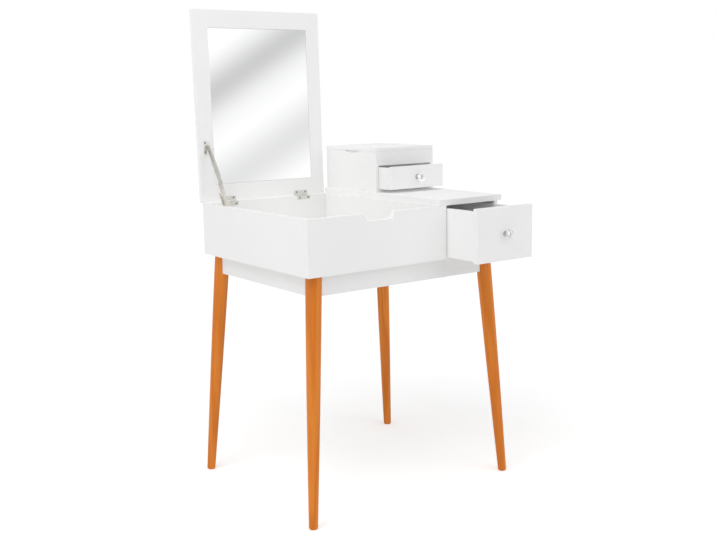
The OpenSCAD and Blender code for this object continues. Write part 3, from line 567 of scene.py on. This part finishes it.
def smooth(obj, angle=35):
    """Smooth shading across small angles in degrees, with the broad faces kept flat."""
    only(obj)
    bpy.ops.object.shade_smooth_by_angle(angle=math.radians(angle))
    bpy.ops.object.modifier_add(type="WEIGHTED_NORMAL")
    obj.modifiers[-1].keep_sharp = True
    apply_last(obj)


def hand_over(obj, name, node, finish=None):
    """Names a finished piece, paints it, and lets it stand for its node on the node's body."""
    obj.name = obj.data.name = name
    obj.data.materials.clear()
    obj.data.materials.append(finish or finish_of[slot_of[node]])
    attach(obj, body_of[node])
    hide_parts(node)


# %% [markdown]
# ## Boards
# Most of the case, the box and the drawers are plain boards, so each starts as a cube at the
# board's place and size, and its edges are eased. The strip that guides the drawer is rounder, as
# the drawer slides along it.

# %% Plain boards from cubes
EASE, GUIDE_EASE = 0.45 * MM, 1.5 * MM


def plain_board(node, width=EASE, finish=None):
    """A board as a cube of the node's size with eased edges."""
    low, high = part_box(node)
    deselect()
    bpy.ops.mesh.primitive_cube_add(size=1, location=(low + high) / 2, scale=high - low)
    board = bpy.context.object
    settle(board)
    ease_edges(board, width)
    smooth(board)
    hand_over(board, node + "_board", node, finish)


CASE_BOARDS = ("right_side", "top_board", "box_back", "box_floor", "box_upper_front")
DRAWER_BOARDS = ("drawer_back", "small_drawer_back", "drawer_bottom", "small_drawer_bottom")
INNER_BOARDS = ("compartment_floor", "bay_floor", "box_shelf")
for node in CASE_BOARDS + DRAWER_BOARDS:
    plain_board(node)
for node in INNER_BOARDS:
    plain_board(node, finish=shade_warmed_paint)
plain_board("drawer_guide", GUIDE_EASE)
print("plain boards:", len(CASE_BOARDS + DRAWER_BOARDS + INNER_BOARDS) + 1)

# %% [markdown]
# A board that has a groove, a hinge pocket or a finger notch is a copy of the model's solid
# instead, because the copy already has every cut where the hardware needs it. That mesh is loose
# triangles, so they are merged, and the flat ones are joined to whole faces, before the edges are
# eased. The two boards with a finger notch have the short edges of its curve eased as well.

# %% Cut boards from merged copies
WELD, FLAT_ANGLE, SHORT_EDGE = 0.005 * MM, math.radians(0.5), 8 * MM
CUT_BOARDS = (
    "left_side", "back_panel", "partition", "lid_board", "box_right_side", "box_lid",
    "drawer_front", "drawer_left_side", "drawer_right_side", "small_drawer_front",
    "small_drawer_left_side", "small_drawer_right_side", "apron_front", "apron_back",
    "apron_left", "apron_right",
)
NOTCHED_BOARDS = ("front_panel", "box_left_side")


def merged_copy(node):
    """A copy of a node's mesh as one closed shell with whole faces."""
    obj = bpy.data.objects.new(node + "_copy", frame["nodes"][node].data.copy())
    bpy.context.scene.collection.objects.link(obj)
    only(obj)
    bpy.ops.mesh.customdata_custom_splitnormals_clear()
    mode("EDIT")
    select_mesh()
    bpy.ops.mesh.remove_doubles(threshold=WELD)
    bpy.ops.mesh.dissolve_limited(angle_limit=FLAT_ANGLE)
    mode("OBJECT")
    return obj


def cut_board(node, least):
    """A board as a copy of its solid, with the edges eased that are at least that long."""
    board = merged_copy(node)
    count = ease_edges(board, EASE, least)
    smooth(board)
    hand_over(board, node + "_board", node)
    return count


edges = {node: cut_board(node, SHORT_EDGE) for node in CUT_BOARDS}
edges.update({node: cut_board(node, 0.0) for node in NOTCHED_BOARDS})
print("eased edges:", edges)

# %% [markdown]
# ## Turned legs
# A round leg is turned on a lathe: it is thick under the case, it tapers in a slightly full curve,
# and its foot is rounded over. It could be a cone, but then the curve and the rounded foot would
# be missing. So a circle is extruded ring by ring and each ring is scaled, as a turner checks one
# diameter after another.

# %% Helper: a turned shape
RING_WELD = 0.001 * MM


def turned_shape(rings, sides):
    """A closed round shape from its rings (radius, height), made upright on the Z axis."""
    radius, height = rings[0]
    deselect()
    bpy.ops.mesh.primitive_circle_add(
        vertices=sides, radius=radius, fill_type="NGON", location=(0, 0, height)
    )
    obj = bpy.context.object
    settle(obj)
    mode("EDIT")
    select_mesh()
    for next_radius, next_height in rings[1:]:
        bpy.ops.mesh.extrude_region_move(
            TRANSFORM_OT_translate={"value": (0, 0, next_height - height)}
        )
        share = next_radius / radius
        bpy.ops.transform.resize(value=(share, share, 1), center_override=(0, 0, next_height))
        radius, height = next_radius, next_height
    select_mesh()
    bpy.ops.mesh.remove_doubles(threshold=RING_WELD)
    bpy.ops.mesh.normals_make_consistent(inside=False)
    mode("OBJECT")
    return obj


# %% [markdown]
# The leg is made upright, its upright coordinates are kept for the grain, and only then is it
# tilted and cut level at the floor and under the case. Its rings start a little under the floor
# and end above the case's underside, so that both cuts go through the whole leg.

# %% The leg's sizes and rings
CASE_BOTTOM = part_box("bay_floor")[0].z
LEG_TOP = Vector((264.6, 217.1, 597.0)) * MM
LEG_FOOT = Vector((306.6, 253.1, 0.0)) * MM
TOP_R, FOOT_R, FOOT_ROUND, FULLNESS = 19.5 * MM, 11.0 * MM, 6.0 * MM, 1.4
LEG_RINGS, LEG_SIDES, FOOT_STEP = 22, 56, 15
SPARE_UNDER, SPARE_OVER = 0.3 * MM, 5 * MM
leg_line = LEG_TOP - LEG_FOOT
leg_tilt = leg_line.angle(Vector((0, 0, 1)))
trim = FOOT_R * math.tan(leg_tilt) + SPARE_UNDER


def leg_rings():
    """The leg's rings from under the foot to above the case's underside."""
    rings = []
    for a in range(-90, 1, FOOT_STEP):
        turn = math.radians(a)
        rings.append((
            FOOT_R - FOOT_ROUND + FOOT_ROUND * math.cos(turn),
            FOOT_ROUND + FOOT_ROUND * math.sin(turn) - trim,
        ))
    for i in range(1, LEG_RINGS + 1):
        share = i / LEG_RINGS
        thin = (TOP_R - FOOT_R) * (1 - share) ** FULLNESS
        rings.append((TOP_R - thin, share * leg_line.length))
    rings.append((TOP_R, leg_line.length + SPARE_OVER))
    return rings


print("leg:", round(leg_line.length, 4), "m long, tilted", round(math.degrees(leg_tilt), 2))

# %% Turn, tilt and trim the four legs
TOP_EASE, LEVEL_SLACK, LEG_SMOOTH = 1.0 * MM, 0.01 * MM, 40
GRAIN_SHIFT = Vector((0.31, 0.17, 0.53))


def keep_grain(obj, shift):
    """Stores the upright coordinates for the grain, moved so that no two pieces match."""
    places = np.array([v.co + shift for v in obj.data.vertices], np.float32)
    store = obj.data.attributes.new("grain_place", "FLOAT_VECTOR", "POINT")
    store.data.foreach_set("vector", places.ravel())


def cut_level(obj, height, upper):
    """Cuts obj level at a height and closes the cut, dropping what is above or below."""
    only(obj)
    mode("EDIT")
    select_mesh()
    bpy.ops.mesh.bisect(
        plane_co=(0, 0, height), plane_no=(0, 0, 1), use_fill=True,
        clear_outer=upper, clear_inner=not upper,
    )
    mode("OBJECT")


def ease_top(leg):
    """Takes the sharp edge off the leg's upper end, which leaves a fine dark joint there."""
    only(leg)
    mode("EDIT")
    choose(leg, "EDGE", lambda e: min(v.co.z for v in e.verts) > CASE_BOTTOM - LEVEL_SLACK)
    bpy.ops.mesh.bevel(offset=TOP_EASE, segments=2, affect="EDGES", clamp_overlap=False)
    mode("OBJECT")


def turned_leg(node, side, end, shift):
    """A leg at the left or right side and the front or back end, leaning inwards."""
    leg = turned_shape(leg_rings(), LEG_SIDES)
    keep_grain(leg, shift)
    inward = math.atan2(end * leg_line.y, side * leg_line.x)
    foot = Vector((side * LEG_FOOT.x, end * LEG_FOOT.y, 0))
    leg.matrix_world = (
        Matrix.Translation(foot)
        @ Matrix.Rotation(inward, 4, "Z") @ Matrix.Rotation(leg_tilt, 4, "Y")
    )
    settle(leg)
    cut_level(leg, 0.0, upper=False)
    cut_level(leg, CASE_BOTTOM, upper=True)
    ease_top(leg)
    smooth(leg, LEG_SMOOTH)
    hand_over(leg, node + "_turned", node)
    return leg


for k, (node, side, end) in enumerate((
    ("leg_front_left", -1, -1), ("leg_front_right", 1, -1),
    ("leg_back_left", -1, 1), ("leg_back_right", 1, 1),
)):
    leg = turned_leg(node, side, end, GRAIN_SHIFT * k)
    print(leg.name, [round(x, 4) for x in leg.dimensions])

# %% [markdown]
# ## Mirror
# The mirror is a sheet of silvered float glass, glued in a shallow recess. Its face and the narrow
# ground bevel round it reflect, and its sides show the green of the glass. The copy of the solid is
# made a touch larger, as the glue closes most of the joint, and the sides take the second material.

# %% Mirror with a polished edge
SNUG, MIRROR_BEVEL, FACE_LEAN = 0.3 * MM, 0.5 * MM, 0.6
mirror = merged_copy("mirror")
mirror_low, mirror_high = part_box("mirror")
mirror_middle, mirror_size = (mirror_low + mirror_high) / 2, mirror_high - mirror_low
only(mirror)
mode("EDIT")
select_mesh()
bpy.ops.transform.resize(
    value=(1 + 2 * SNUG / mirror_size.x, 1, 1 + 2 * SNUG / mirror_size.z),
    center_override=mirror_middle,
)
mode("OBJECT")
ease_edges(mirror, MIRROR_BEVEL, segments=1)
mirror_face = max(mirror.data.polygons, key=lambda p: p.area).normal.copy()
hand_over(mirror, "mirror_sheet", "mirror")
mirror.data.materials.append(glass_edge)
for face in mirror.data.polygons:
    face.material_index = 0 if abs(face.normal.dot(mirror_face)) > FACE_LEAN else 1
print("mirror faces:", len(mirror.data.polygons))

# %% [markdown]
# ## Hinges, stay and rivets
# These are pressed from sheet, so their long edges are slightly rounded. Copies of the solids
# keep the knuckles, the screw holes and the folded flanges exactly where they turn. The rivets
# and pins are short and round, so all their edges are eased.

# %% Pressed steel pieces
PRESSED_EASE, RIVET_EASE, LONG_EDGE, PRESSED_SMOOTH = 0.2 * MM, 0.35 * MM, 3 * MM, 32
PALE_PIECES = (
    "hinge_case_leaves", "hinge_lid_leaves", "box_hinge_leaves", "box_hinge_lid_leaves",
    "stay_case_bracket", "stay_lid_bracket",
)
LINKS = ("stay_upper_link", "stay_lower_link")
RIVETS = ("stay_case_rivet", "stay_lid_rivet", "stay_elbow_rivet")


def pressed_piece(node, width, least, segments=2, finish=None):
    """A pressed piece as a copy of its solid with slightly rounded edges."""
    piece = merged_copy(node)
    ease_edges(piece, width, least, segments)
    smooth(piece, PRESSED_SMOOTH)
    hand_over(piece, node + "_pressed", node, finish)


for node in PALE_PIECES:
    pressed_piece(node, PRESSED_EASE, LONG_EDGE, finish=pale_nickel)
for node in LINKS:
    pressed_piece(node, PRESSED_EASE, LONG_EDGE)
for node in RIVETS:
    pressed_piece(node, RIVET_EASE, 0.0, segments=3)
pressed_piece("hinge_pins", PRESSED_EASE, 0.0)
print("pressed pieces:", len(PALE_PIECES + LINKS + RIVETS) + 1)

# %% [markdown]
# ## Screws
# All the small hardware is held by countersunk screws with a cross recess. One screw is turned,
# two tapered bars are cut out of its head, and it is copied to every screw of the model.

# %% Model one screw
SCREW_L, SCREW_R, HEAD_R, TIP_R = 10 * MM, 1.5 * MM, 2.7 * MM, 0.3 * MM
RIM_H, RIM_IN, SCREW_SIDES, SCREW_SMOOTH = 0.12 * MM, 0.15 * MM, 28, 30
BAR_L, BAR_W, BAR_H, BAR_LIFT, BAR_TAPER = 3.0 * MM, 0.62 * MM, 1.4 * MM, 0.3 * MM, 0.45


def recess_bar(turn):
    """A bar of the cross recess, narrower towards the screw's tip."""
    deselect()
    bpy.ops.mesh.primitive_cube_add(
        size=1, location=(0, 0, BAR_LIFT), rotation=(0, 0, math.radians(turn)),
        scale=(BAR_L, BAR_W, BAR_H),
    )
    bar = bpy.context.object
    settle(bar)
    mode("EDIT")
    choose(bar, "FACE", lambda f: f.normal.z > 0.9)
    bpy.ops.transform.resize(value=(BAR_TAPER, BAR_TAPER, 1), center_override=(0, 0, 0))
    mode("OBJECT")
    return bar


def model_screw():
    """A countersunk screw on the Z axis, with its head's face at zero and its tip above."""
    screw = turned_shape(
        [
            (TIP_R, SCREW_L), (SCREW_R, SCREW_L - SCREW_R), (SCREW_R, HEAD_R - SCREW_R),
            (HEAD_R, RIM_H), (HEAD_R - RIM_IN, 0.0),
        ],
        SCREW_SIDES,
    )
    for turn in (0, 90):
        cut_away(screw, recess_bar(turn))
    smooth(screw, SCREW_SMOOTH)
    return screw


screw = model_screw()
print("screw:", len(screw.data.polygons), "faces")

# %% [markdown]
# The places come from the solids themselves, so that no number is repeated: the longest direction
# of a solid is the screw's axis, and its widest end is the head. Each copy is turned a little more
# than the last one, because nobody lines up screws.

# %% Copy the screw to its places
SCREW_NODES, SCREW_TURN = ("case_screws", "lid_screws", "box_lid_screws"), 37


def screw_seats(node):
    """For each solid of a node: its head's middle, the direction to its tip, and its length."""
    solids = merged_copy(node)
    only(solids)
    mode("EDIT")
    select_mesh()
    bpy.ops.mesh.separate(type="LOOSE")
    mode("OBJECT")
    seats = []
    for part in list(bpy.context.selected_objects):
        points = np.array([v.co for v in part.data.vertices])
        middle = (points.min(0) + points.max(0)) / 2
        axis = np.linalg.svd(points - points.mean(0))[2][0]
        along = (points - middle) @ axis
        out = np.linalg.norm(points - middle - np.outer(along, axis), axis=1)
        if along[out.argmax()] > 0:
            axis, along = -axis, -along
        head = middle + axis * along.min()
        seats.append((Vector(head), Vector(axis), float(np.ptp(along))))
        bpy.data.objects.remove(part)
    return sorted(seats, key=lambda seat: tuple(round(x, 4) for x in seat[0]))


def placed_copy(model, matrix):
    """A copy of a modelled piece with its own mesh, settled at a place."""
    only(model)
    bpy.ops.object.duplicate()
    copy = bpy.context.object
    copy.matrix_world = matrix
    settle(copy)
    return copy


for node in SCREW_NODES:
    copies = [
        placed_copy(
            screw,
            Matrix.Translation(head) @ axis.to_track_quat("Z", "Y").to_matrix().to_4x4()
            @ Matrix.Rotation(math.radians(SCREW_TURN * k), 4, "Z")
            @ Matrix.Scale(length / SCREW_L, 4),
        )
        for k, (head, axis, length) in enumerate(screw_seats(node))
    ]
    only(copies[0])
    for copy in copies:
        copy.select_set(True)
    bpy.ops.object.join()
    hand_over(copies[0], node + "_crossed", node, dark_steel)
    print(node, "has", len(copies), "screws")
bpy.data.objects.remove(screw)

# %% [markdown]
# ## Crystal knobs
# The knobs are cut glass on a small foot of dark chrome. Glass shows its facets by how they bend
# the light, so they have to be real flat faces. Each ring of twelve corners is turned by half a
# step from the last one, which makes every band a row of triangles, as on a cut stone. The foot is
# a turned shape with a flange and a waist, and its stud reaches into the crystal.

# %% Model the knob's crystal
KNOB_R, NECK_R, FACETS = 11.5 * MM, 4.2 * MM, 12
FOOT_H, STUD_R, STUD_L = 6 * MM, 2 * MM, 6 * MM
HOLE_GAP, HOLE_START, HOLE_SPARE, HOLE_SIDES = 0.1 * MM, 1 * MM, 0.2 * MM, 20
HALF_STEP = math.pi / FACETS
CRYSTAL_RINGS = (
    (NECK_R, 0.0, 1), (8.6 * MM, 3.9 * MM, 0), (KNOB_R, 7.3 * MM, 1), (KNOB_R, 10.0 * MM, 1),
    (10.1 * MM, 13.2 * MM, 0), (7.0 * MM, 16.0 * MM, 1),
)


def model_crystal():
    """The cut crystal on the Z axis: rings of corners (radius, height, half step) in a hull."""
    points = []
    for radius, height, half in CRYSTAL_RINGS:
        for i in range(FACETS):
            turn = (2 * i + half) * HALF_STEP
            points.append((radius * math.cos(turn), radius * math.sin(turn), FOOT_H + height))
    deselect()
    bpy.ops.mesh.primitive_circle_add(vertices=3, radius=1 * MM)
    obj = bpy.context.object
    obj.data.clear_geometry()
    obj.data.from_pydata(points, [], [])
    only(obj)
    mode("EDIT")
    select_mesh()
    bpy.ops.mesh.convex_hull()
    select_mesh()
    bpy.ops.mesh.dissolve_limited(angle_limit=FLAT_ANGLE)
    mode("OBJECT")
    hole = turned_shape(
        [
            (STUD_R + HOLE_GAP, FOOT_H - HOLE_START),
            (STUD_R + HOLE_GAP, FOOT_H + STUD_L + HOLE_SPARE),
        ],
        HOLE_SIDES,
    )
    cut_away(obj, hole)
    return obj


knob_crystal = model_crystal()
print("crystal faces:", len(knob_crystal.data.polygons))

# %% Model the knob's foot
FOOT_SIDES, FOOT_SMOOTH = 40, 40
FOOT_RINGS = (
    (7.5 * MM, 0.0), (7.5 * MM, 0.8 * MM), (7.3 * MM, 1.1 * MM), (6.6 * MM, 1.6 * MM),
    (5.2 * MM, 2.0 * MM), (4.1 * MM, 2.5 * MM), (3.55 * MM, 3.1 * MM), (3.5 * MM, 4.0 * MM),
    (3.8 * MM, 5.0 * MM), (NECK_R, 5.6 * MM), (NECK_R, FOOT_H), (STUD_R, FOOT_H),
    (STUD_R, FOOT_H + STUD_L),
)
knob_foot = turned_shape(FOOT_RINGS, FOOT_SIDES)
smooth(knob_foot, FOOT_SMOOTH)
print("foot faces:", len(knob_foot.data.polygons))

# %% [markdown]
# Both drawers have the same knob. The model's knob base says where its foot stands on the drawer's
# front, and a quarter turn about X points the knob to the sitter.

# %% Copy the knob to both drawers
for drawer in ("drawer", "small_drawer"):
    low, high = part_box(drawer + "_knob_base")
    face = Vector(((low.x + high.x) / 2, high.y, (low.z + high.z) / 2))
    upright = Matrix.Translation(face) @ Matrix.Rotation(math.pi / 2, 4, "X")
    hand_over(placed_copy(knob_crystal, upright), drawer + "_knob_crystal", drawer + "_knob")
    hand_over(placed_copy(knob_foot, upright), drawer + "_knob_foot", drawer + "_knob_base")
    print(drawer, "knob at", [round(x, 4) for x in face])
for model in (knob_crystal, knob_foot):
    bpy.data.objects.remove(model)

# %% [markdown]
# ## What stays as it is
# The leg bolts with their nuts, the knob screws and the corner blocks are inside or underneath.
# Their solids already have the right form, so they keep their meshes and only get their finish.

# %% Finishes for the solids that stay
kept = []
for node, obj in frame["nodes"].items():
    obj.data.materials.clear()
    obj.data.materials.append(finish_of[slot_of[node]])
    if not obj.hide_render:
        kept.append(node)
print("kept solids:", ", ".join(sorted(kept)))

# %% [markdown]
# ## World, floor and lamps
# The background is white, and the world lights the table evenly. A white world would light it too
# much, so the world is white only for what the camera sees straight, by a reflection or through
# glass, and weaker for the light that falls on the table.

# %% World
WORLD_LEVEL, WHITE = 0.54, (1, 1, 1, 1)


def seen_directly(tree):
    """A mask that is 1 for what the camera sees, straight or by a reflection or through glass."""
    path = add_node(tree, "ShaderNodeLightPath")
    either = add_node(tree, "ShaderNodeMath", operation="MAXIMUM")
    mask = add_node(tree, "ShaderNodeMath", operation="MAXIMUM")
    join(tree, path, "Is Camera Ray", either, 0)
    join(tree, path, "Is Glossy Ray", either, 1)
    join(tree, either, 0, mask, 0)
    join(tree, path, "Is Transmission Ray", mask, 1)
    return mask


def mix_shaders(tree, mask, out, first, second):
    """A shader that goes from first to second as the mask goes from 0 to 1."""
    mix = add_node(tree, "ShaderNodeMixShader")
    join(tree, mask, out, mix, "Fac")
    join(tree, first, 0, mix, 1)
    join(tree, second, 0, mix, 2)
    return mix


world = bpy.data.worlds.new("studio")
bpy.context.scene.world = world
world.use_nodes = True
sky = world.node_tree
sky.nodes.clear()
soft = add_node(sky, "ShaderNodeBackground", {"Color": WHITE, "Strength": WORLD_LEVEL})
clear = add_node(sky, "ShaderNodeBackground", {"Color": WHITE, "Strength": 1.0})
sky_out = add_node(sky, "ShaderNodeOutputWorld")
join(sky, mix_shaders(sky, seen_directly(sky), 0, soft, clear), 0, sky_out, "Surface")
print("world level:", WORLD_LEVEL)

# %% [markdown]
# The floor is a pale matt plane. For the camera and for reflections it glows a little, more so far
# away, so that it meets the white world without a line and still keeps the table's soft shadow.

# %% Floor
FLOOR_SIZE, FLOOR_RIPPLE, FLOOR_ROUGH, FLOOR_GLOSS = 60, 40.0, 0.9, 0.1
FLOOR_DARK, FLOOR_LIGHT = (0.90, 0.90, 0.90), (0.92, 0.92, 0.92)
GLOW_NEAR, GLOW_FAR, GLOW_REACH = 0.27, 0.52, 3.0


def floor_glow(tree):
    """A glow that gets weaker towards the table, over a few metres."""
    place = add_node(tree, "ShaderNodeTexCoord")
    shrink = add_node(tree, "ShaderNodeMapping", {"Scale": (1 / GLOW_REACH,) * 3})
    nearness = add_node(tree, "ShaderNodeTexGradient", gradient_type="SPHERICAL")
    level = add_node(tree, "ShaderNodeMapRange", {"To Min": GLOW_FAR, "To Max": GLOW_NEAR})
    glow = add_node(tree, "ShaderNodeEmission", {"Color": WHITE})
    join(tree, place, "Object", shrink, "Vector")
    join(tree, shrink, "Vector", nearness, "Vector")
    join(tree, nearness, "Fac", level, "Value")
    join(tree, level, "Result", glow, "Strength")
    return glow


def make_floor_paint():
    """Pale matt paint that glows for the camera and for reflections."""
    material, tree, shader, film = start_finish(
        "pale matt floor", rolled_paint, ripple=FLOOR_RIPPLE
    )
    spread_colour(
        tree, film, "Tone", two_tones(FLOOR_DARK, FLOOR_LIGHT), shader.inputs["Base Color"]
    )
    set_sockets(shader, {"Roughness": FLOOR_ROUGH, "Specular IOR Level": FLOOR_GLOSS})
    total = add_node(tree, "ShaderNodeAddShader")
    join(tree, shader, 0, total, 0)
    join(tree, floor_glow(tree), 0, total, 1)
    lift = mix_shaders(tree, seen_directly(tree), 0, shader, total)
    join(tree, lift, 0, tree.nodes["Material Output"], "Surface")
    return material


deselect()
bpy.ops.mesh.primitive_plane_add(size=FLOOR_SIZE, location=(0, 0, 0))
floor = bpy.context.object
floor.name = "floor"
floor.data.materials.append(make_floor_paint())
print("floor:", FLOOR_SIZE, "m wide")

# %% [markdown]
# Three wide lamps give the table's faces their small differences: the key lamp high on the left,
# a fill lamp in front, and a weak one at the side. They are square and large, so that the shadows
# stay soft, and they all point at the middle of the table.

# %% Lamps
LAMP_SIZE, TABLE_MIDDLE = 2.4, Vector((0, 0, 0.7))


def soft_lamp(name, at, watts):
    """A square area lamp that points at the middle of the table."""
    bpy.ops.object.light_add(type="AREA", location=at)
    lamp = bpy.context.object
    lamp.name = name
    lamp.data.shape = "SQUARE"
    lamp.data.size = LAMP_SIZE
    lamp.data.energy = watts
    lamp.rotation_euler = (TABLE_MIDDLE - Vector(at)).to_track_quat("-Z", "Y").to_euler()
    print(name, watts, "W")


soft_lamp("key lamp", (-1.9, -0.7, 3.3), 42)
soft_lamp("fill lamp", (1.0, -2.5, 2.2), 20.5)
soft_lamp("side lamp", (-3.0, 0.0, 1.2), 8.5)

# %% [markdown]
# ## What the mirror shows
# In the picture the mirror shows two soft grey bands that rise to the right. They are what it
# reflects from the studio, so a card with two grey bands stands where the mirror looks, in front
# and to the right. Only reflections see the card. The mirror itself stays a plain mirror.

# %% Stand a card where the mirror looks
CARD_AWAY, CARD_SIZE = 2.2, 1.9
look = (mirror_middle - CAMERA_AT).normalized()
facing = mirror_face if mirror_face.y < 0 else -mirror_face
bounce = look - 2 * look.dot(facing) * facing
card_at = mirror_middle + bounce * CARD_AWAY
deselect()
bpy.ops.mesh.primitive_plane_add(size=CARD_SIZE, location=(0, 0, 0))
card = bpy.context.object
card.name = "studio_card"
card.matrix_world = (
    Matrix.Translation(card_at) @ (-bounce).to_track_quat("Z", "Y").to_matrix().to_4x4()
)
print("card at", [round(x, 3) for x in card_at], "mirror faces", [round(x, 3) for x in facing])

# %% [markdown]
# The bands are a ramp of greys across the card, tilted by adding a share of X to Y. Before the
# card's edge they fade out to its plain glow, so that no edge shows in the mirror from elsewhere.

# %% Helpers: a bare material and the bands
BAND_SLOPE, BAND_REACH, CARD_GLOW = 0.63, 0.5, 1.09
GREYS = (
    (-0.42, 1.0), (-0.25, 0.61), (-0.08, 1.0), (0.0, 0.93), (0.10, 0.86), (0.21, 0.475),
    (0.31, 0.77), (0.41, 1.0),
)


def bare_material(name):
    """A material with nothing but its output."""
    material, tree, shader = new_material(name)
    tree.nodes.remove(shader)
    return material, tree


def banded_glow(tree, place):
    """A glow with the grey bands."""
    split = add_node(tree, "ShaderNodeSeparateXYZ")
    tilt = add_node(tree, "ShaderNodeMath", {1: BAND_SLOPE}, operation="MULTIPLY_ADD")
    scale = add_node(
        tree, "ShaderNodeMapRange", {"From Min": -BAND_REACH, "From Max": BAND_REACH}
    )
    ramp = add_node(tree, "ShaderNodeValToRGB")
    ramp.color_ramp.interpolation = "B_SPLINE"
    set_stops(ramp, [(0.5 + 0.5 * along / BAND_REACH, (grey,) * 3) for along, grey in GREYS])
    glow = add_node(tree, "ShaderNodeEmission", {"Strength": CARD_GLOW})
    join(tree, place, "Object", split, 0)
    join(tree, split, "X", tilt, 0)
    join(tree, split, "Y", tilt, 2)
    join(tree, tilt, 0, scale, "Value")
    join(tree, scale, "Result", ramp, "Fac")
    join(tree, ramp, "Color", glow, "Color")
    return glow


# %% Paint the card
FADE_END, FADE_START = 0.05, 0.32
card_paint, tree = bare_material("banded card")
place = add_node(tree, "ShaderNodeTexCoord")
middle = add_node(tree, "ShaderNodeTexGradient", gradient_type="SPHERICAL")
inside = add_node(tree, "ShaderNodeMapRange", {"From Min": FADE_END, "From Max": FADE_START})
plain = add_node(tree, "ShaderNodeEmission", {"Strength": CARD_GLOW})
join(tree, place, "Object", middle, "Vector")
join(tree, middle, "Fac", inside, "Value")
faded = mix_shaders(tree, inside, "Result", plain, banded_glow(tree, place))
join(tree, faded, 0, tree.nodes["Material Output"], "Surface")
card.data.materials.append(card_paint)


def only_reflected(obj):
    """Makes a staged object that nothing but reflections sees."""
    for way in ("camera", "diffuse", "transmission", "shadow"):
        setattr(obj, "visible_" + way, False)


only_reflected(card)
print("bands:", len(GREYS), "greys")

# %% [markdown]
# The picture's mirror is clean: it shows the bands and nothing of the box beside it. So the box and
# its small drawer are left out of reflections, which touches only what the mirror and the metal
# show of them. The case and its top stay in. The top is unlit where the box stands on it and under
# the small drawer's way. So a card that glows about as bright as the lit top, and that only
# reflections see, covers that patch: a painted light laid over the shade there.

# %% Leave the box out of the reflections
UNREFLECTED = ("box_", "small_drawer")
quiet = [o for o in bpy.data.objects if o.type == "MESH" and o.name.startswith(UNREFLECTED)]
for obj in quiet:
    obj.visible_glossy = False
print("left out of reflections:", len(quiet))

# %% Glowing card where the box stands, a painted light over its shade
PATCH_GLOW, PATCH_LIFT, DRAWER_REACH = 0.88, 0.5 * MM, 144 * MM
patch_low, patch_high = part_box("box_left_side")[0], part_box("box_right_side")[1]
patch_low.y -= DRAWER_REACH
patch_at = (patch_low + patch_high) / 2
patch_at.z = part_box("top_board")[1].z + PATCH_LIFT
deselect()
bpy.ops.mesh.primitive_plane_add(size=1, location=patch_at)
patch = bpy.context.object
patch.name = "studio_patch"
patch.scale = (patch_high.x - patch_low.x, patch_high.y - patch_low.y, 1)
lit_top_glow_paint, tree = bare_material("pale card")
# The card's glow is a painted light: it stands in for the lit top where the top lies in shade.
glow = add_node(tree, "ShaderNodeEmission", {"Strength": PATCH_GLOW})
join(tree, glow, 0, tree.nodes["Material Output"], "Surface")
patch.data.materials.append(lit_top_glow_paint)
only_reflected(patch)
print("patch at", [round(x, 3) for x in patch_at], [round(x, 3) for x in patch.scale])
